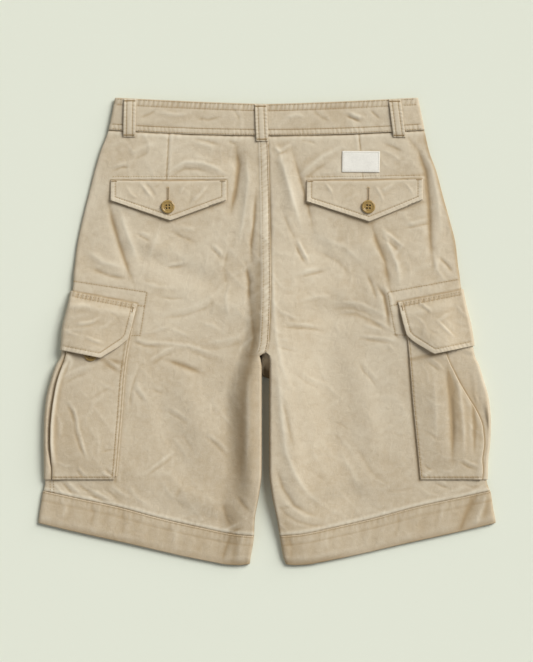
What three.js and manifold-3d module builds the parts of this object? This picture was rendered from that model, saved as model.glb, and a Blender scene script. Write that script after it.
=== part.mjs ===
// Cargo shorts lying face down on a flat surface, with the seat side up. Millimetres, +Z up, +Y towards the waist.
// The origin is on the surface, under the middle of the outline. "left" is the wearer's left, at -X.
// Each cloth piece is a wall: a mid surface made of sections that run from the centre of the garment to its side,
// thickened at right angles to each section. Pieces that lie on another take their height from the same functions.
import * as THREE from "three";
import { mergeVertices } from "three/addons/utils/BufferGeometryUtils.js";
import Module from "manifold-3d";

const wasm = await Module();
wasm.setup();

// Wall thicknesses, and the gaps between pieces
const PANEL = 1.2;
const POCKET = 1.0;
const FLAP = 1.6;
const BAND = 2.0;
const HEM = 1.8;
const LOOP = 1.5;
const LABEL = 1.0;
const SEAM_GAP = 0.3;
const LAID_GAP = 0.35;
const HALF_SEAM = SEAM_GAP / 2;

// Outermost outline of the garment laid flat, where the cargo pockets bulge past the legs
const SILHOUETTE = [
  { y: -311, left: -305.5, right: 305.5 },
  { y: -255, left: -304.5, right: 304.5 },
  { y: -235, left: -302.0, right: 301.0 },
  { y: -212, left: -298.5, right: 297.5 },
  { y: -196, left: -297.0, right: 294.0 },
  { y: -171, left: -296.6, right: 294.5 },
  { y: -147, left: -297.0, right: 297.2 },
  { y: -123, left: -296.6, right: 298.0 },
  { y: -91, left: -294.0, right: 295.3 },
  { y: -59, left: -286.0, right: 286.5 },
  { y: -27, left: -275.5, right: 277.5 },
  { y: 5, left: -272.5, right: 272.5 },
  { y: 37, left: -264.8, right: 264.8 },
  { y: 60, left: -260.5, right: 260.5 },
  { y: 84, left: -256.7, right: 255.0 },
  { y: 116, left: -252.7, right: 251.4 },
  { y: 148, left: -246.0, right: 243.5 },
  { y: 180, left: -238.0, right: 234.5 },
  { y: 212, left: -230.0, right: 226.0 },
  { y: 240, left: -221.5, right: 216.0 },
  { y: 267, left: -211.5, right: 210.0 },
  { y: 311, left: -202.2, right: 201.0 },
];

// Centre seam of the seat, then the inner edges of the two legs below the crotch
const INNER_EDGE = [
  { y: -311, left: -23.0, right: 25.5 },
  { y: -299, left: -21.3, right: 21.3 },
  { y: -273, left: -17.0, right: 16.8 },
  { y: -251, left: -16.0, right: 13.3 },
  { y: -219, left: -10.6, right: 6.7 },
  { y: -187, left: -6.8, right: 3.0 },
  { y: -123, left: -6.6, right: 2.7 },
  { y: -44, left: -6.5, right: 2.9 },
  { y: -30, left: -1.3, right: -1.3 },
  { y: -11, left: 2.7, right: 2.7 },
  { y: 68, left: 5.3, right: 5.3 },
  { y: 122, left: 4.7, right: 4.7 },
  { y: 175, left: 4.0, right: 4.0 },
  { y: 262, left: 1.6, right: 1.6 },
];
const BACK_CROTCH_Y = -30;
const FRONT_CROTCH_Y = -61;
const CROTCH_OPENS_IN = 14;

// Lower edges of the garment, alike on both legs: the hem's stitched top edge and its bottom edge
const HEM_SEAM = [
  { x: 17, y: -272.0 },
  { x: 43, y: -269.8 },
  { x: 90, y: -260.6 },
  { x: 141, y: -249.0 },
  { x: 199, y: -233.5 },
  { x: 250, y: -222.5 },
  { x: 298, y: -212.0 },
];
const HEM_EDGE = [
  { x: 23, y: -309.6 },
  { x: 38, y: -311.0 },
  { x: 54, y: -310.2 },
  { x: 72, y: -307.0 },
  { x: 112, y: -299.0 },
  { x: 183, y: -282.6 },
  { x: 255, y: -266.7 },
  { x: 304, y: -255.0 },
];

// Waistband: both edges sag towards the centre, and the front lies a little lower than the back
const WAIST = {
  topY: 302.6,
  topRise: 8.4,
  topPower: 1.3,
  seamY: 260.3,
  seamRise: 7.0,
  half: 202,
  frontDip: 11,
};

// Heights of the seat side's upper surface above the floor, zone by zone
const TOP = { plain: 5.0, pocket: 0.8, flap: 1.4, waist: 2.0, innerDrop: 1.5, outerDrop: 0.7 };
const ROLL = 5.5;
const HEM_STANDS = 0.5;

// Large folds of the seat side: a line in plan, the half width and the height of the ridge, or depth if negative
const FOLDS = [
  { x1: -44, y1: 240, x2: -46, y2: 150, width: 13, height: -1.1 },
  { x1: -20, y1: 215, x2: -24, y2: 110, width: 12, height: 0.7 },
  { x1: 33, y1: 240, x2: 40, y2: 120, width: 13, height: 1.0 },
  { x1: 62, y1: 150, x2: 70, y2: 90, width: 16, height: -0.7 },
  { x1: -215, y1: 150, x2: -120, y2: 95, width: 16, height: 0.8 },
  { x1: -190, y1: 110, x2: -60, y2: 60, width: 17, height: -0.8 },
  { x1: -110, y1: 60, x2: -12, y2: 20, width: 16, height: 0.9 },
  { x1: 20, y1: 30, x2: 110, y2: 65, width: 16, height: 0.9 },
  { x1: 60, y1: 20, x2: 170, y2: 25, width: 15, height: -0.8 },
  { x1: 110, y1: 110, x2: 215, y2: 150, width: 17, height: 0.8 },
  { x1: -52, y1: -80, x2: -32, y2: -238, width: 14, height: -1.2 },
  { x1: -20, y1: -60, x2: -22, y2: -220, width: 12, height: 0.8 },
  { x1: -120, y1: -40, x2: -80, y2: -150, width: 18, height: 0.8 },
  { x1: -150, y1: -90, x2: -100, y2: -200, width: 17, height: -0.7 },
  { x1: 18, y1: -50, x2: 42, y2: -220, width: 13, height: 1.0 },
  { x1: 70, y1: -40, x2: 90, y2: -170, width: 18, height: -0.8 },
  { x1: 110, y1: -30, x2: 150, y2: -160, width: 18, height: 0.7 },
  { x1: 50, y1: -236, x2: 130, y2: -212, width: 13, height: -0.8 },
  { x1: -130, y1: -205, x2: -60, y2: -240, width: 13, height: 0.7 },
];
// Places where a piece is laid on the seat side, so the panel under it is smooth: centre, half sizes and soft margin
const SMOOTH_PLACES = [
  { x: -131, y: 172, halfX: 84, halfY: 34, margin: 26 },
  { x: 130, y: 182, halfX: 84, halfY: 46, margin: 26 },
  { x: -245, y: -75, halfX: 82, halfY: 150, margin: 26 },
  { x: 245, y: -75, halfX: 82, halfY: 150, margin: 26 },
];

// Cargo pockets: the inner edge of the face, and the fold of the pleat that opens at the side
const POCKET_LINES = [
  { y: -197, leftInner: -203, rightInner: 204, leftPleat: -285, rightPleat: 285 },
  { y: -184, leftInner: -201.4, rightInner: 202.8, leftPleat: -285, rightPleat: 286.5 },
  { y: -171, leftInner: -200.2, rightInner: 201.5, leftPleat: -287.5, rightPleat: 287.5 },
  { y: -147, leftInner: -198.2, rightInner: 199.2, leftPleat: -290.5, rightPleat: 290.5 },
  { y: -131, leftInner: -196.9, rightInner: 197.6, leftPleat: -290.3, rightPleat: 288.5 },
  { y: -112, leftInner: -195.2, rightInner: 195.6, leftPleat: -289.0, rightPleat: 281 },
  { y: -78, leftInner: -192.8, rightInner: 192.6, leftPleat: -284.0, rightPleat: 261 },
  { y: -60, leftInner: -191.3, rightInner: 191.2, leftPleat: -279.5, rightPleat: 251 },
  { y: -28, leftInner: -187.1, rightInner: 188.6, leftPleat: -266.0, rightPleat: 237 },
  { y: -6, leftInner: -183.0, rightInner: 186.5, leftPleat: -262.0, rightPleat: 233 },
  { y: 16, leftInner: -179.0, rightInner: 184.8, leftPleat: -258.0, rightPleat: 230 },
];
const POCKET_TOP_Y = 16;
const POCKET_BOTTOM_Y = -197;
const PLEAT_DEPTH = 11;
const POCKET_REACH_UNDER = 88;
const GUSSET = { shows: 4.5, tucked: 11, topY: 4, bottomY: -193 };

// Cargo flaps in their own frame: "in" is the inset of the inner edge at each depth below the sewn top edge
const FLAP_EDGE = [
  { down: 0, in: 0 },
  { down: 45, in: 2.4 },
  { down: 53, in: 6.5 },
  { down: 80, in: 33.5 },
];
const CARGO_FLAP = {
  left: { x: -172.1, y: 37.1, slope: 0.194, depth: 80 },
  right: { x: 173.6, y: 39.2, slope: 0.2, depth: 77 },
};

// Seat pocket flaps: sewn top corners, depth at the sides and at the point, and the point's place along the flap
const SEAT_FLAP = {
  left: { x1: -208, y1: 201.1, x2: -53.8, y2: 201.4, side: 27, point: 54, pointAt: 0.515 },
  right: { x1: 52.6, y1: 200.7, x2: 207, y2: 203.1, side: 28, point: 56, pointAt: 0.54 },
};
const BUTTON = { radius: 8.9, thick: 3.0, rim: 1.7, dish: 0.7, holeRadius: 0.9, holeAt: 1.9 };
const FLAT_BUTTON = { ...BUTTON, thick: 2.2 };
const FLY_BUTTON = { ...BUTTON, radius: 8.0, thick: 1.7, rim: 1.2, dish: 0.4 };
const BUTTON_AT = {
  seat_button_left: { x: -131.7, y: 165.6 },
  seat_button_right: { x: 134.6, y: 165.6 },
  cargo_button_left: { x: -234, y: -30.5 },
  cargo_button_right: { x: 228, y: -12 },
};
const LABEL_AT = { x: 124.8, y: 225.7, wide: 50, high: 28, turn: 0.02 };

// Belt loops: centre at the top edge and at the lower end, with the arch that the loop stands up by
const BELT_LOOPS = {
  belt_loop_left: { xTop: -182, xLow: -183, arch: 1.6 },
  belt_loop_centre: { xTop: -8.3, xLow: -6.3, arch: 1.0 },
  belt_loop_right: { xTop: 169.5, xLow: 176, arch: 1.6 },
};
const FRONT_LOOPS = { front_loop_left: -118, front_loop_right: 116 };
const LOOP_WIDE = 16.5;
const LOOP_PAST_SEAM = 7.5;
const UNDER = { waist: 2.3, pocket: POCKET + 2 * SEAM_GAP, flap: FLAP + SEAM_GAP };

const COLOURS = { cloth: 0xc9b896, label: 0xe9e4d6, button: 0xa8884a };

// Small mathematics

const lerp = (a, b, t) => a + (b - a) * t;

function smooth(from, to, value) {
  const t = Math.min(1, Math.max(0, (value - from) / (to - from)));
  return t * t * (3 - 2 * t);
}

// A smooth curve through a table's rows that never overshoots them, held level past its ends.
function curve(table, key, column) {
  const at = table.map((row) => row[key]);
  const value = table.map((row) => row[column]);
  const slope = at.slice(1).map((_, i) => (value[i + 1] - value[i]) / (at[i + 1] - at[i]));
  const tangent = at.map((_, i) => {
    const before = slope[Math.max(0, i - 1)];
    const after = slope[Math.min(slope.length - 1, i)];
    return before * after > 0 ? (2 * before * after) / (before + after) : 0;
  });
  return (wanted) => {
    const v = Math.min(at[at.length - 1], Math.max(at[0], wanted));
    const i = Math.min(slope.length - 1, Math.max(0, at.findIndex((a) => a >= v) - 1));
    const span = at[i + 1] - at[i];
    const t = (v - at[i]) / span;
    const [t2, t3] = [t * t, t * t * t];
    return (
      (2 * t3 - 3 * t2 + 1) * value[i] +
      (t3 - 2 * t2 + t) * span * tangent[i] +
      (3 * t2 - 2 * t3) * value[i + 1] +
      (t3 - t2) * span * tangent[i + 1]
    );
  };
}

const silhouette = { left: curve(SILHOUETTE, "y", "left"), right: curve(SILHOUETTE, "y", "right") };
const innerLine = { left: curve(INNER_EDGE, "y", "left"), right: curve(INNER_EDGE, "y", "right") };
const hemSeamY = curve(HEM_SEAM, "x", "y");
const hemEdgeY = curve(HEM_EDGE, "x", "y");
const pocketInner = { left: curve(POCKET_LINES, "y", "leftInner"), right: curve(POCKET_LINES, "y", "rightInner") };
const pocketPleat = { left: curve(POCKET_LINES, "y", "leftPleat"), right: curve(POCKET_LINES, "y", "rightPleat") };
const flapInset = curve(FLAP_EDGE, "down", "in");
const signOf = { left: -1, right: 1 };
const sideOf = (x) => (x < 0 ? "left" : "right");

const waistTopY = (x) => WAIST.topY + WAIST.topRise * (Math.abs(x) / WAIST.half) ** WAIST.topPower;
const waistSeamY = (x) => WAIST.seamY + WAIST.seamRise * (x / WAIST.half) ** 2;
const frontDip = (x) => WAIST.frontDip * (1 - smooth(0, WAIST.half, Math.abs(x)));

// Outlines of each layer at the side: the flap outermost, then the pocket, then the leg

const pocketInset = (y) => 2.3 * smooth(-46, -33, y);
const legInset = (y) => {
  const inPocket = smooth(-217, -203, y) * (1 - smooth(POCKET_TOP_Y, POCKET_TOP_Y + 16, y));
  const inFlap = smooth(-54, -37, y) * (1 - smooth(58, 82, y));
  return 1.7 * inPocket + 2.4 * inFlap;
};
const outerEdge = (side, y) => silhouette[side](y) - signOf[side] * legInset(y);
const innerEdge = (side, y) => innerLine[side](y) + signOf[side] * HALF_SEAM;

// The front panels stay joined further down than the back ones, and show between the legs
function frontInnerEdge(side, y) {
  const centre = y > BACK_CROTCH_Y ? innerLine.left(y) : innerLine.left(BACK_CROTCH_Y);
  const joined = smooth(FRONT_CROTCH_Y - 12, FRONT_CROTCH_Y, y);
  return lerp(innerLine[side](y), centre, joined) + signOf[side] * HALF_SEAM;
}
const reach = (x, y) => Math.abs(silhouette[sideOf(x)](y)) - Math.abs(x);

// Thickness of what lies under the front panels: pocket and flap halves at the sides, loops and button at the waist

function underPocket(x, y) {
  const across = 1 - smooth(POCKET_REACH_UNDER + 5, POCKET_REACH_UNDER + 26, reach(x, y));
  return across * smooth(-214, -201, y) * (1 - smooth(POCKET_TOP_Y + 4, POCKET_TOP_Y + 20, y));
}

function underFlap(x, y) {
  const across = 1 - smooth(POCKET_REACH_UNDER + 8, POCKET_REACH_UNDER + 30, reach(x, y));
  return across * smooth(-56, -39, y) * (1 - smooth(61, 86, y));
}

const underWaist = (y) => smooth(205, 240, y);
const rise = (x, y) => UNDER.pocket * underPocket(x, y) + UNDER.flap * underFlap(x, y) + UNDER.waist * underWaist(y);

// Upper surface of the seat side

function foldHeight(fold, x, y) {
  const along = new THREE.Vector2(fold.x2 - fold.x1, fold.y2 - fold.y1);
  const from = new THREE.Vector2(x - fold.x1, y - fold.y1);
  const t = from.dot(along) / along.lengthSq();
  const off = Math.abs(from.cross(along)) / along.length();
  const ends = smooth(-0.15, 0.2, t) * (1 - smooth(0.8, 1.15, t));
  return fold.height * ends * Math.exp(-((off / fold.width) ** 2));
}

function smoothPlace(place, x, y) {
  const offX = Math.abs(x - place.x) - place.halfX;
  const offY = Math.abs(y - place.y) - place.halfY;
  return (1 - smooth(0, place.margin, offX)) * (1 - smooth(0, place.margin, offY));
}

function topHeight(x, y) {
  const side = sideOf(x);
  const fromInner = Math.abs(x - innerLine[side](y));
  const inLeg = smooth(BACK_CROTCH_Y, BACK_CROTCH_Y - 60, y);
  const inSide = 1 - smooth(100, 190, reach(x, y));
  const zones =
    TOP.pocket * inSide * (1 - smooth(30, 120, y)) +
    TOP.flap * (1 - smooth(100, 170, reach(x, y))) * smooth(-110, -40, y) * (1 - smooth(55, 125, y)) +
    TOP.waist * smooth(195, 262, y);
  const drops =
    TOP.innerDrop * inLeg * (1 - smooth(0, 45, fromInner)) +
    TOP.outerDrop * (1 - smooth(0, 30, reach(x, y))) * smooth(70, 110, y);
  const plain = SMOOTH_PLACES.reduce((left, place) => left * (1 - smoothPlace(place, x, y)), 1);
  const nearEdges = smooth(262, 225, y) * smooth(0, 30, y - hemSeamY(Math.abs(x)));
  const folds = FOLDS.reduce((sum, fold) => sum + foldHeight(fold, x, y), 0);
  return TOP.plain + zones - drops + folds * plain * nearEdges;
}

// Share of the full height at a distance in from a rounded edge
function roll(distance, width) {
  return distance >= width ? 1 : Math.sqrt(Math.max(0, 1 - (1 - distance / width) ** 2));
}

// Closed solids

// Joins an outer and an inner grid of points into one closed wall. A ring closes each section on itself.
function shell(outer, inner, ring = false) {
  const rows = outer.length;
  const columns = outer[0].length;
  const positions = [...outer.flat(), ...inner.flat()].flatMap((p) => [p.x, p.y, p.z]);
  const index = [];
  const at = (layer, i, j) => layer * rows * columns + i * columns + (j % columns);
  const quad = (a, b, c, d) => index.push(a, b, c, a, c, d);
  const last = ring ? columns : columns - 1;
  for (let j = 0; j < last; j++) {
    for (let i = 0; i < rows - 1; i++) {
      quad(at(0, i, j), at(0, i + 1, j), at(0, i + 1, j + 1), at(0, i, j + 1));
      quad(at(1, i, j), at(1, i, j + 1), at(1, i + 1, j + 1), at(1, i + 1, j));
    }
    quad(at(0, 0, j), at(0, 0, j + 1), at(1, 0, j + 1), at(1, 0, j));
    quad(at(0, rows - 1, j), at(1, rows - 1, j), at(1, rows - 1, j + 1), at(0, rows - 1, j + 1));
  }
  for (let i = 0; i < rows - 1 && !ring; i++) {
    const end = columns - 1;
    quad(at(0, i, 0), at(1, i, 0), at(1, i + 1, 0), at(0, i + 1, 0));
    quad(at(0, i, end), at(0, i + 1, end), at(1, i + 1, end), at(1, i, end));
  }
  const geometry = new THREE.BufferGeometry();
  geometry.setAttribute("position", new THREE.Float32BufferAttribute(positions, 3));
  geometry.setIndex(signedVolume(positions, index) < 0 ? index.reverse() : index);
  geometry.computeVertexNormals();
  return geometry;
}

function signedVolume(positions, index) {
  const corner = (i) => new THREE.Vector3(...positions.slice(3 * index[i], 3 * index[i] + 3));
  let volume = 0;
  for (let i = 0; i < index.length; i += 3) {
    volume += corner(i).dot(corner(i + 1).cross(corner(i + 2))) / 6;
  }
  return volume;
}

// Thickens sections of points into a wall. "across" is the direction at right angles to every section, and "ends"
// gives the direction in which a section starts and the one in which it stops.
function wall(sections, thickness, across, { ring = false, raised = () => 0, ends = () => [] } = {}) {
  const outer = [];
  const inner = [];
  for (const section of sections) {
    const [start, stop] = ends(section);
    const normals = section.map((_, j) => {
      const count = section.length;
      const before = ring ? section[(j + count - 1) % count] : section[Math.max(0, j - 1)];
      const after = ring ? section[(j + 1) % count] : section[Math.min(count - 1, j + 1)];
      const given = j === 0 ? start : j === count - 1 ? stop : undefined;
      return (given ?? after.clone().sub(before)).clone().cross(across).normalize();
    });
    outer.push(section.map((p, j) => p.clone().addScaledVector(normals[j], thickness / 2 + raised(p))));
    inner.push(section.map((p, j) => p.clone().addScaledVector(normals[j], -thickness / 2)));
  }
  return shell(outer, inner, ring);
}

const point = (x, y, z) => new THREE.Vector3(x, y, z);
const steps = (count, from = 0, to = 1) => Array.from({ length: count + 1 }, (_, i) => lerp(from, to, i / count));

// Half a rounded edge, from the upper layer to the lower one: shares of the roll's width outwards and of its height
function halfRoll(count) {
  return steps(count, Math.PI / 2, -Math.PI / 2).map((angle) => ({ out: Math.cos(angle), up: Math.sin(angle) }));
}

// Leg panels

const ROLL_SHARES = [0, 0.134, 0.5, 1];
const BACK_ROWS = [0, 0.03, 0.07, 0.11, 0.15, 0.19, 0.23, 0.27, 0.31, 0.35, 0.39, 0.43, 0.47, 0.51, 0.55, 0.575,
  0.61, 0.65, 0.69, 0.74, 0.79, 0.84, 0.885, 0.925, 0.945, 0.96, 0.978, 1];
const FRONT_ROWS = [0, 0.03, 0.07, 0.11, 0.15, 0.24, 0.34, 0.37, 0.39, 0.41, 0.43, 0.455, 0.475, 0.495, 0.52, 0.56,
  0.595, 0.615, 0.632, 0.65, 0.675, 0.72, 0.79, 0.86, 0.925, 0.945, 0.96, 0.978, 1];
const BACK_COLUMNS = [0, 0.08, 0.16, 0.24, 0.32, 0.4, 0.48, 0.56, 0.64, 0.72, 0.8, 0.88, 0.95, 1];
const FRONT_COLUMNS = [0, 0.18, 0.36, 0.5, 0.56, 0.62, 0.68, 0.84, 1];

// Points in plan of one row of a leg, from its inner edge to its outer edge, with the distances to both edges.
function planRow(share, columns, layer) {
  const { side, inset } = layer;
  const sign = signOf[side];
  const start = (y) => layer.inner(side, y) + sign * inset;
  const width = (y) => Math.abs(layer.outer(side, y) - start(y)) - inset;
  const offsets = [
    ...ROLL_SHARES.slice(0, -1).map((s) => () => s * ROLL),
    ...columns.map((s) => (y) => lerp(ROLL, width(y) - ROLL, s)),
    ...ROLL_SHARES.slice(0, -1).toReversed().map((s) => (y) => width(y) - s * ROLL),
  ];
  return offsets.map((offset) => {
    let [x, y] = [sign * 100, 0];
    for (let pass = 0; pass < 8; pass++) {
      y = lerp(layer.top(x), layer.bottom(x), share);
      x = start(y) + sign * offset(y);
    }
    return { x, y, fromInner: offset(y), fromOuter: width(y) - offset(y) };
  });
}

// Height of the side seam, midway between the mid surfaces of the two layers
const seamHeight = (x, y) => (rise(x, y) + topHeight(x, y)) / 2;
const openedAt = (layer, y) => smooth(layer.crotchY, layer.crotchY - CROTCH_OPENS_IN, y);

function panel(layer, rows, columns, raised = () => 0) {
  const sections = rows.map((share) =>
    planRow(share, columns, layer).map(({ x, y, fromInner, fromOuter }) => {
      const up = roll(fromOuter, ROLL) * lerp(1, roll(fromInner, ROLL), openedAt(layer, y));
      const edge = seamHeight(x, y) + layer.facing * HALF_SEAM;
      return point(x, y, lerp(edge, layer.height(x, y), up));
    }),
  );
  const sign = signOf[layer.side];
  const ends = (section) => {
    const flat = section[1].clone().sub(section[0]).setY(0).normalize();
    return [flat.lerp(point(0, 0, layer.facing), openedAt(layer, section[0].y)), point(0, 0, -layer.facing)];
  };
  return wall(sections, PANEL, point(0, sign, 0), { raised, ends });
}

const backLayer = (side) => ({
  side,
  inset: PANEL / 2,
  inner: innerEdge,
  outer: outerEdge,
  top: (x) => waistSeamY(x) - HALF_SEAM,
  bottom: (x) => hemSeamY(Math.abs(x)) + HALF_SEAM,
  crotchY: BACK_CROTCH_Y,
  facing: 1,
  height: (x, y) => topHeight(x, y) - PANEL / 2,
});
const frontLayer = (side) => ({
  ...backLayer(side),
  inner: frontInnerEdge,
  top: (x) => waistSeamY(x) - frontDip(x) - HALF_SEAM,
  crotchY: FRONT_CROTCH_Y,
  facing: -1,
  height: (x, y) => rise(x, y) + PANEL / 2,
});

// The felled seat seam stands up along the left panel's inner edge
const FELL = { wide: 12, high: 0.9 };
const fellHeight = (p) => {
  const from = innerLine.left(p.y) - p.x;
  return FELL.high * (1 - smooth(FELL.wide - 2, FELL.wide + 4, from)) * smooth(BACK_CROTCH_Y - 8, BACK_CROTCH_Y, p.y);
};

const backPanel = (side) => panel(backLayer(side), BACK_ROWS, BACK_COLUMNS, side === "left" ? fellHeight : undefined);
const frontPanel = (side) => panel(frontLayer(side), FRONT_ROWS, FRONT_COLUMNS);

// Hems: a ring round each leg's end

function hem(side) {
  const layer = {
    ...backLayer(side),
    inset: HEM / 2,
    outer: (which, y) => silhouette[which](y),
    top: (x) => hemSeamY(Math.abs(x)) - HALF_SEAM,
    bottom: (x) => hemEdgeY(Math.abs(x)),
  };
  const low = HEM / 2;
  const high = (x, y) => topHeight(x, y) + HEM_STANDS - HEM / 2;
  const sections = steps(3).map((share) => {
    const place = (facing) => ({ x, y, fromInner, fromOuter }) => {
      const up = roll(Math.min(fromInner, fromOuter), ROLL);
      return point(x, y, lerp(low, high(x, y), (1 + facing * up) / 2));
    };
    const upper = planRow(share, BACK_COLUMNS, layer).map(place(1));
    const lower = planRow(share, FRONT_COLUMNS, layer).map(place(-1)).toReversed().slice(1, -1);
    return [...upper, ...lower];
  });
  return wall(sections, HEM, point(0, signOf[side], 0), { ring: true });
}

// Waistband: each half runs from the centre back round the side to the centre front

const CENTRE_BACK_X = -7;
const bandHigh = (x, y) => topHeight(x, Math.min(y, 262)) + 0.9 - BAND / 2;
const bandLow = UNDER.waist + BAND / 2;

function waistband(side) {
  const sign = signOf[side];
  const sectionAt = (share) => {
    const back = (x) => lerp(waistTopY(x), waistSeamY(x) + HALF_SEAM, share);
    const front = (x) => back(x) - frontDip(x);
    const sideY = back(sign * WAIST.half);
    const outer = silhouette[side](sideY) - (sign * BAND) / 2;
    const start = CENTRE_BACK_X + sign * HALF_SEAM;
    const bend = outer - sign * ROLL;
    const upper = steps(10).map((s) => lerp(start, bend, s)).map((x) => point(x, back(x), bandHigh(x, back(x))));
    const turn = halfRoll(6).slice(1, -1).map(({ out, up }) => {
      const x = bend + sign * out * ROLL;
      return point(x, back(x), lerp(bandLow, bandHigh(x, back(x)), (1 + up) / 2));
    });
    const lower = steps(7).map((s) => lerp(bend, sign * HALF_SEAM, s)).map((x) => point(x, front(x), bandLow));
    return [...upper, ...turn, ...lower];
  };
  return wall(steps(3).map(sectionAt), BAND, point(0, sign, 0));
}

// Belt loops: strips that run down the band, standing a little clear of it, and end on the panel below

function loopStrip(sections) {
  return wall(sections, LOOP, point(1, 0, 0));
}

function beltLoop({ xTop, xLow, arch }) {
  const top = waistTopY(xTop) - 1;
  const low = waistSeamY(xLow) - LOOP_PAST_SEAM;
  const line = steps(9).map((s) => {
    const y = lerp(top, low, s);
    const x = lerp(xTop, xLow, s);
    const onBand = bandHigh(x, y) + BAND / 2;
    const onPanel = topHeight(x, y) + (Math.abs(x) < 20 ? FELL.high : 0);
    const under = lerp(onPanel, onBand, smooth(low - 2, waistSeamY(x) + 1, y));
    const rest = Math.max(under, lerp(onPanel, onBand, smooth(waistSeamY(x) - 9, waistSeamY(x), y)));
    return point(x, y, rest + LAID_GAP + LOOP / 2 + arch * Math.sin(Math.PI * s) ** 0.8);
  });
  const across = [-0.5, 0, 0.5].map((share) => share * LOOP_WIDE);
  return loopStrip(across.map((dx) => line.map((p) => point(p.x + dx, p.y, p.z))));
}

function frontLoop(x) {
  const top = waistTopY(x) - frontDip(x) - 1;
  const low = waistSeamY(x) - frontDip(x) - LOOP_PAST_SEAM;
  const line = steps(5).map((s) => point(x, lerp(top, low, s), LOOP / 2));
  const across = [-0.5, 0.5].map((share) => share * LOOP_WIDE);
  return loopStrip(across.map((dx) => line.map((p) => point(p.x + dx, p.y, p.z))));
}

// Cargo pockets: the face lies on the seat side, folds back under itself at the pleat, then goes round the side
// and under the front panel

const POCKET_STATIONS = [16, 2, -14, -30, -41, -57, -80, -104, -128, -150, -170, -185, -197];
const FACE_STEPS = 7;
const LAYER_STEP = POCKET + SEAM_GAP;
const FACE_START = LAID_GAP + POCKET + LAID_GAP + POCKET / 2;
const FACE_END = LAID_GAP + POCKET / 2 + 2 * LAYER_STEP;
const faceBulge = (y) => 1.3 * smooth(-40, -90, y) * smooth(-195, -150, y);
const faceLift = (share, y) => lerp(FACE_START, FACE_END, smooth(0, 1, share)) + faceBulge(y) * Math.sin(Math.PI * share);

function pocketSection(side, y) {
  const sign = signOf[side];
  const inner = pocketInner[side](y);
  const pleat = pocketPleat[side](y);
  const edge = silhouette[side](y) - sign * (pocketInset(y) + POCKET / 2);
  const bend = edge - sign * ROLL;
  const pleatTop = topHeight(pleat - sign * PLEAT_DEPTH, y);
  const turn = LAYER_STEP / 2;
  const layer = (step) => pleatTop + LAID_GAP + POCKET / 2 + step * LAYER_STEP;
  const hairpin = (centreX, centreZ, facing) =>
    [50, 0, -50].map((degrees) => {
      const angle = THREE.MathUtils.degToRad(degrees);
      return point(centreX + facing * Math.cos(angle) * turn, y, centreZ + Math.sin(angle) * turn);
    });
  const faceX = steps(FACE_STEPS).map((s) => lerp(inner, pleat - sign * turn, s));
  const face = faceX.map((x, i) => {
    const base = lerp(topHeight(x, y), pleatTop, smooth(0.6, 1, i / FACE_STEPS));
    return point(x, y, base + faceLift(i / FACE_STEPS, y));
  });
  const back = pleat - sign * PLEAT_DEPTH;
  const folded = [point(pleat - sign * turn, y, layer(1)), point(back, y, layer(1))];
  const low = POCKET / 2 + UNDER.flap * underFlap(edge, y);
  const lastX = silhouette[side](y) - sign * POCKET_REACH_UNDER;
  const base = steps(3).map((s) => point(lerp(back, bend, s), y, layer(0)));
  const round = halfRoll(6).slice(1, -1).map(({ out, up }) =>
    point(bend + sign * out * ROLL, y, lerp(low, layer(0), (1 + up) / 2)),
  );
  const under = (x) => point(x, y, POCKET / 2 + UNDER.flap * underFlap(x, y));
  const lower = steps(4).map((s) => under(lerp(bend, lastX, s)));
  return [
    ...face,
    ...hairpin(pleat - sign * turn, (layer(2) + layer(1)) / 2, sign),
    ...folded,
    ...hairpin(back, (layer(1) + layer(0)) / 2, -sign),
    ...base,
    ...round,
    ...lower,
  ];
}

function cargoPocket(side) {
  return wall(POCKET_STATIONS.map((y) => pocketSection(side, y)), POCKET, point(0, signOf[side], 0));
}

function cargoGusset(side) {
  const sign = signOf[side];
  const rows = steps(11, GUSSET.topY, GUSSET.bottomY).map((y) => {
    const inner = pocketInner[side](y);
    return steps(2, inner - sign * GUSSET.shows, inner + sign * GUSSET.tucked).map((x) =>
      point(x, y, topHeight(x, y) + LAID_GAP + POCKET / 2),
    );
  });
  return wall(rows, POCKET, point(0, sign, 0));
}

// Upper surface of a cargo pocket, for what lies on it
function pocketTop(side, x, y) {
  const inner = pocketInner[side](y);
  const pleat = pocketPleat[side](y);
  const share = Math.min(1, Math.max(0, (x - inner) / (pleat - inner)));
  const past = Math.abs(x) - Math.abs(pleat);
  const lift = lerp(faceLift(share, y), LAID_GAP + POCKET / 2, smooth(2, 24, past));
  return topHeight(x, y) + lift + POCKET / 2;
}

// Cargo flaps: sewn to the leg along the top edge, they lie over the pocket, go round the side and under

const buttonBump = (side, x, y) => {
  const at = BUTTON_AT[`cargo_button_${side}`];
  return 3.3 * Math.exp(-(((x - at.x) ** 2 + (y - at.y) ** 2) / 26 ** 2));
};

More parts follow.
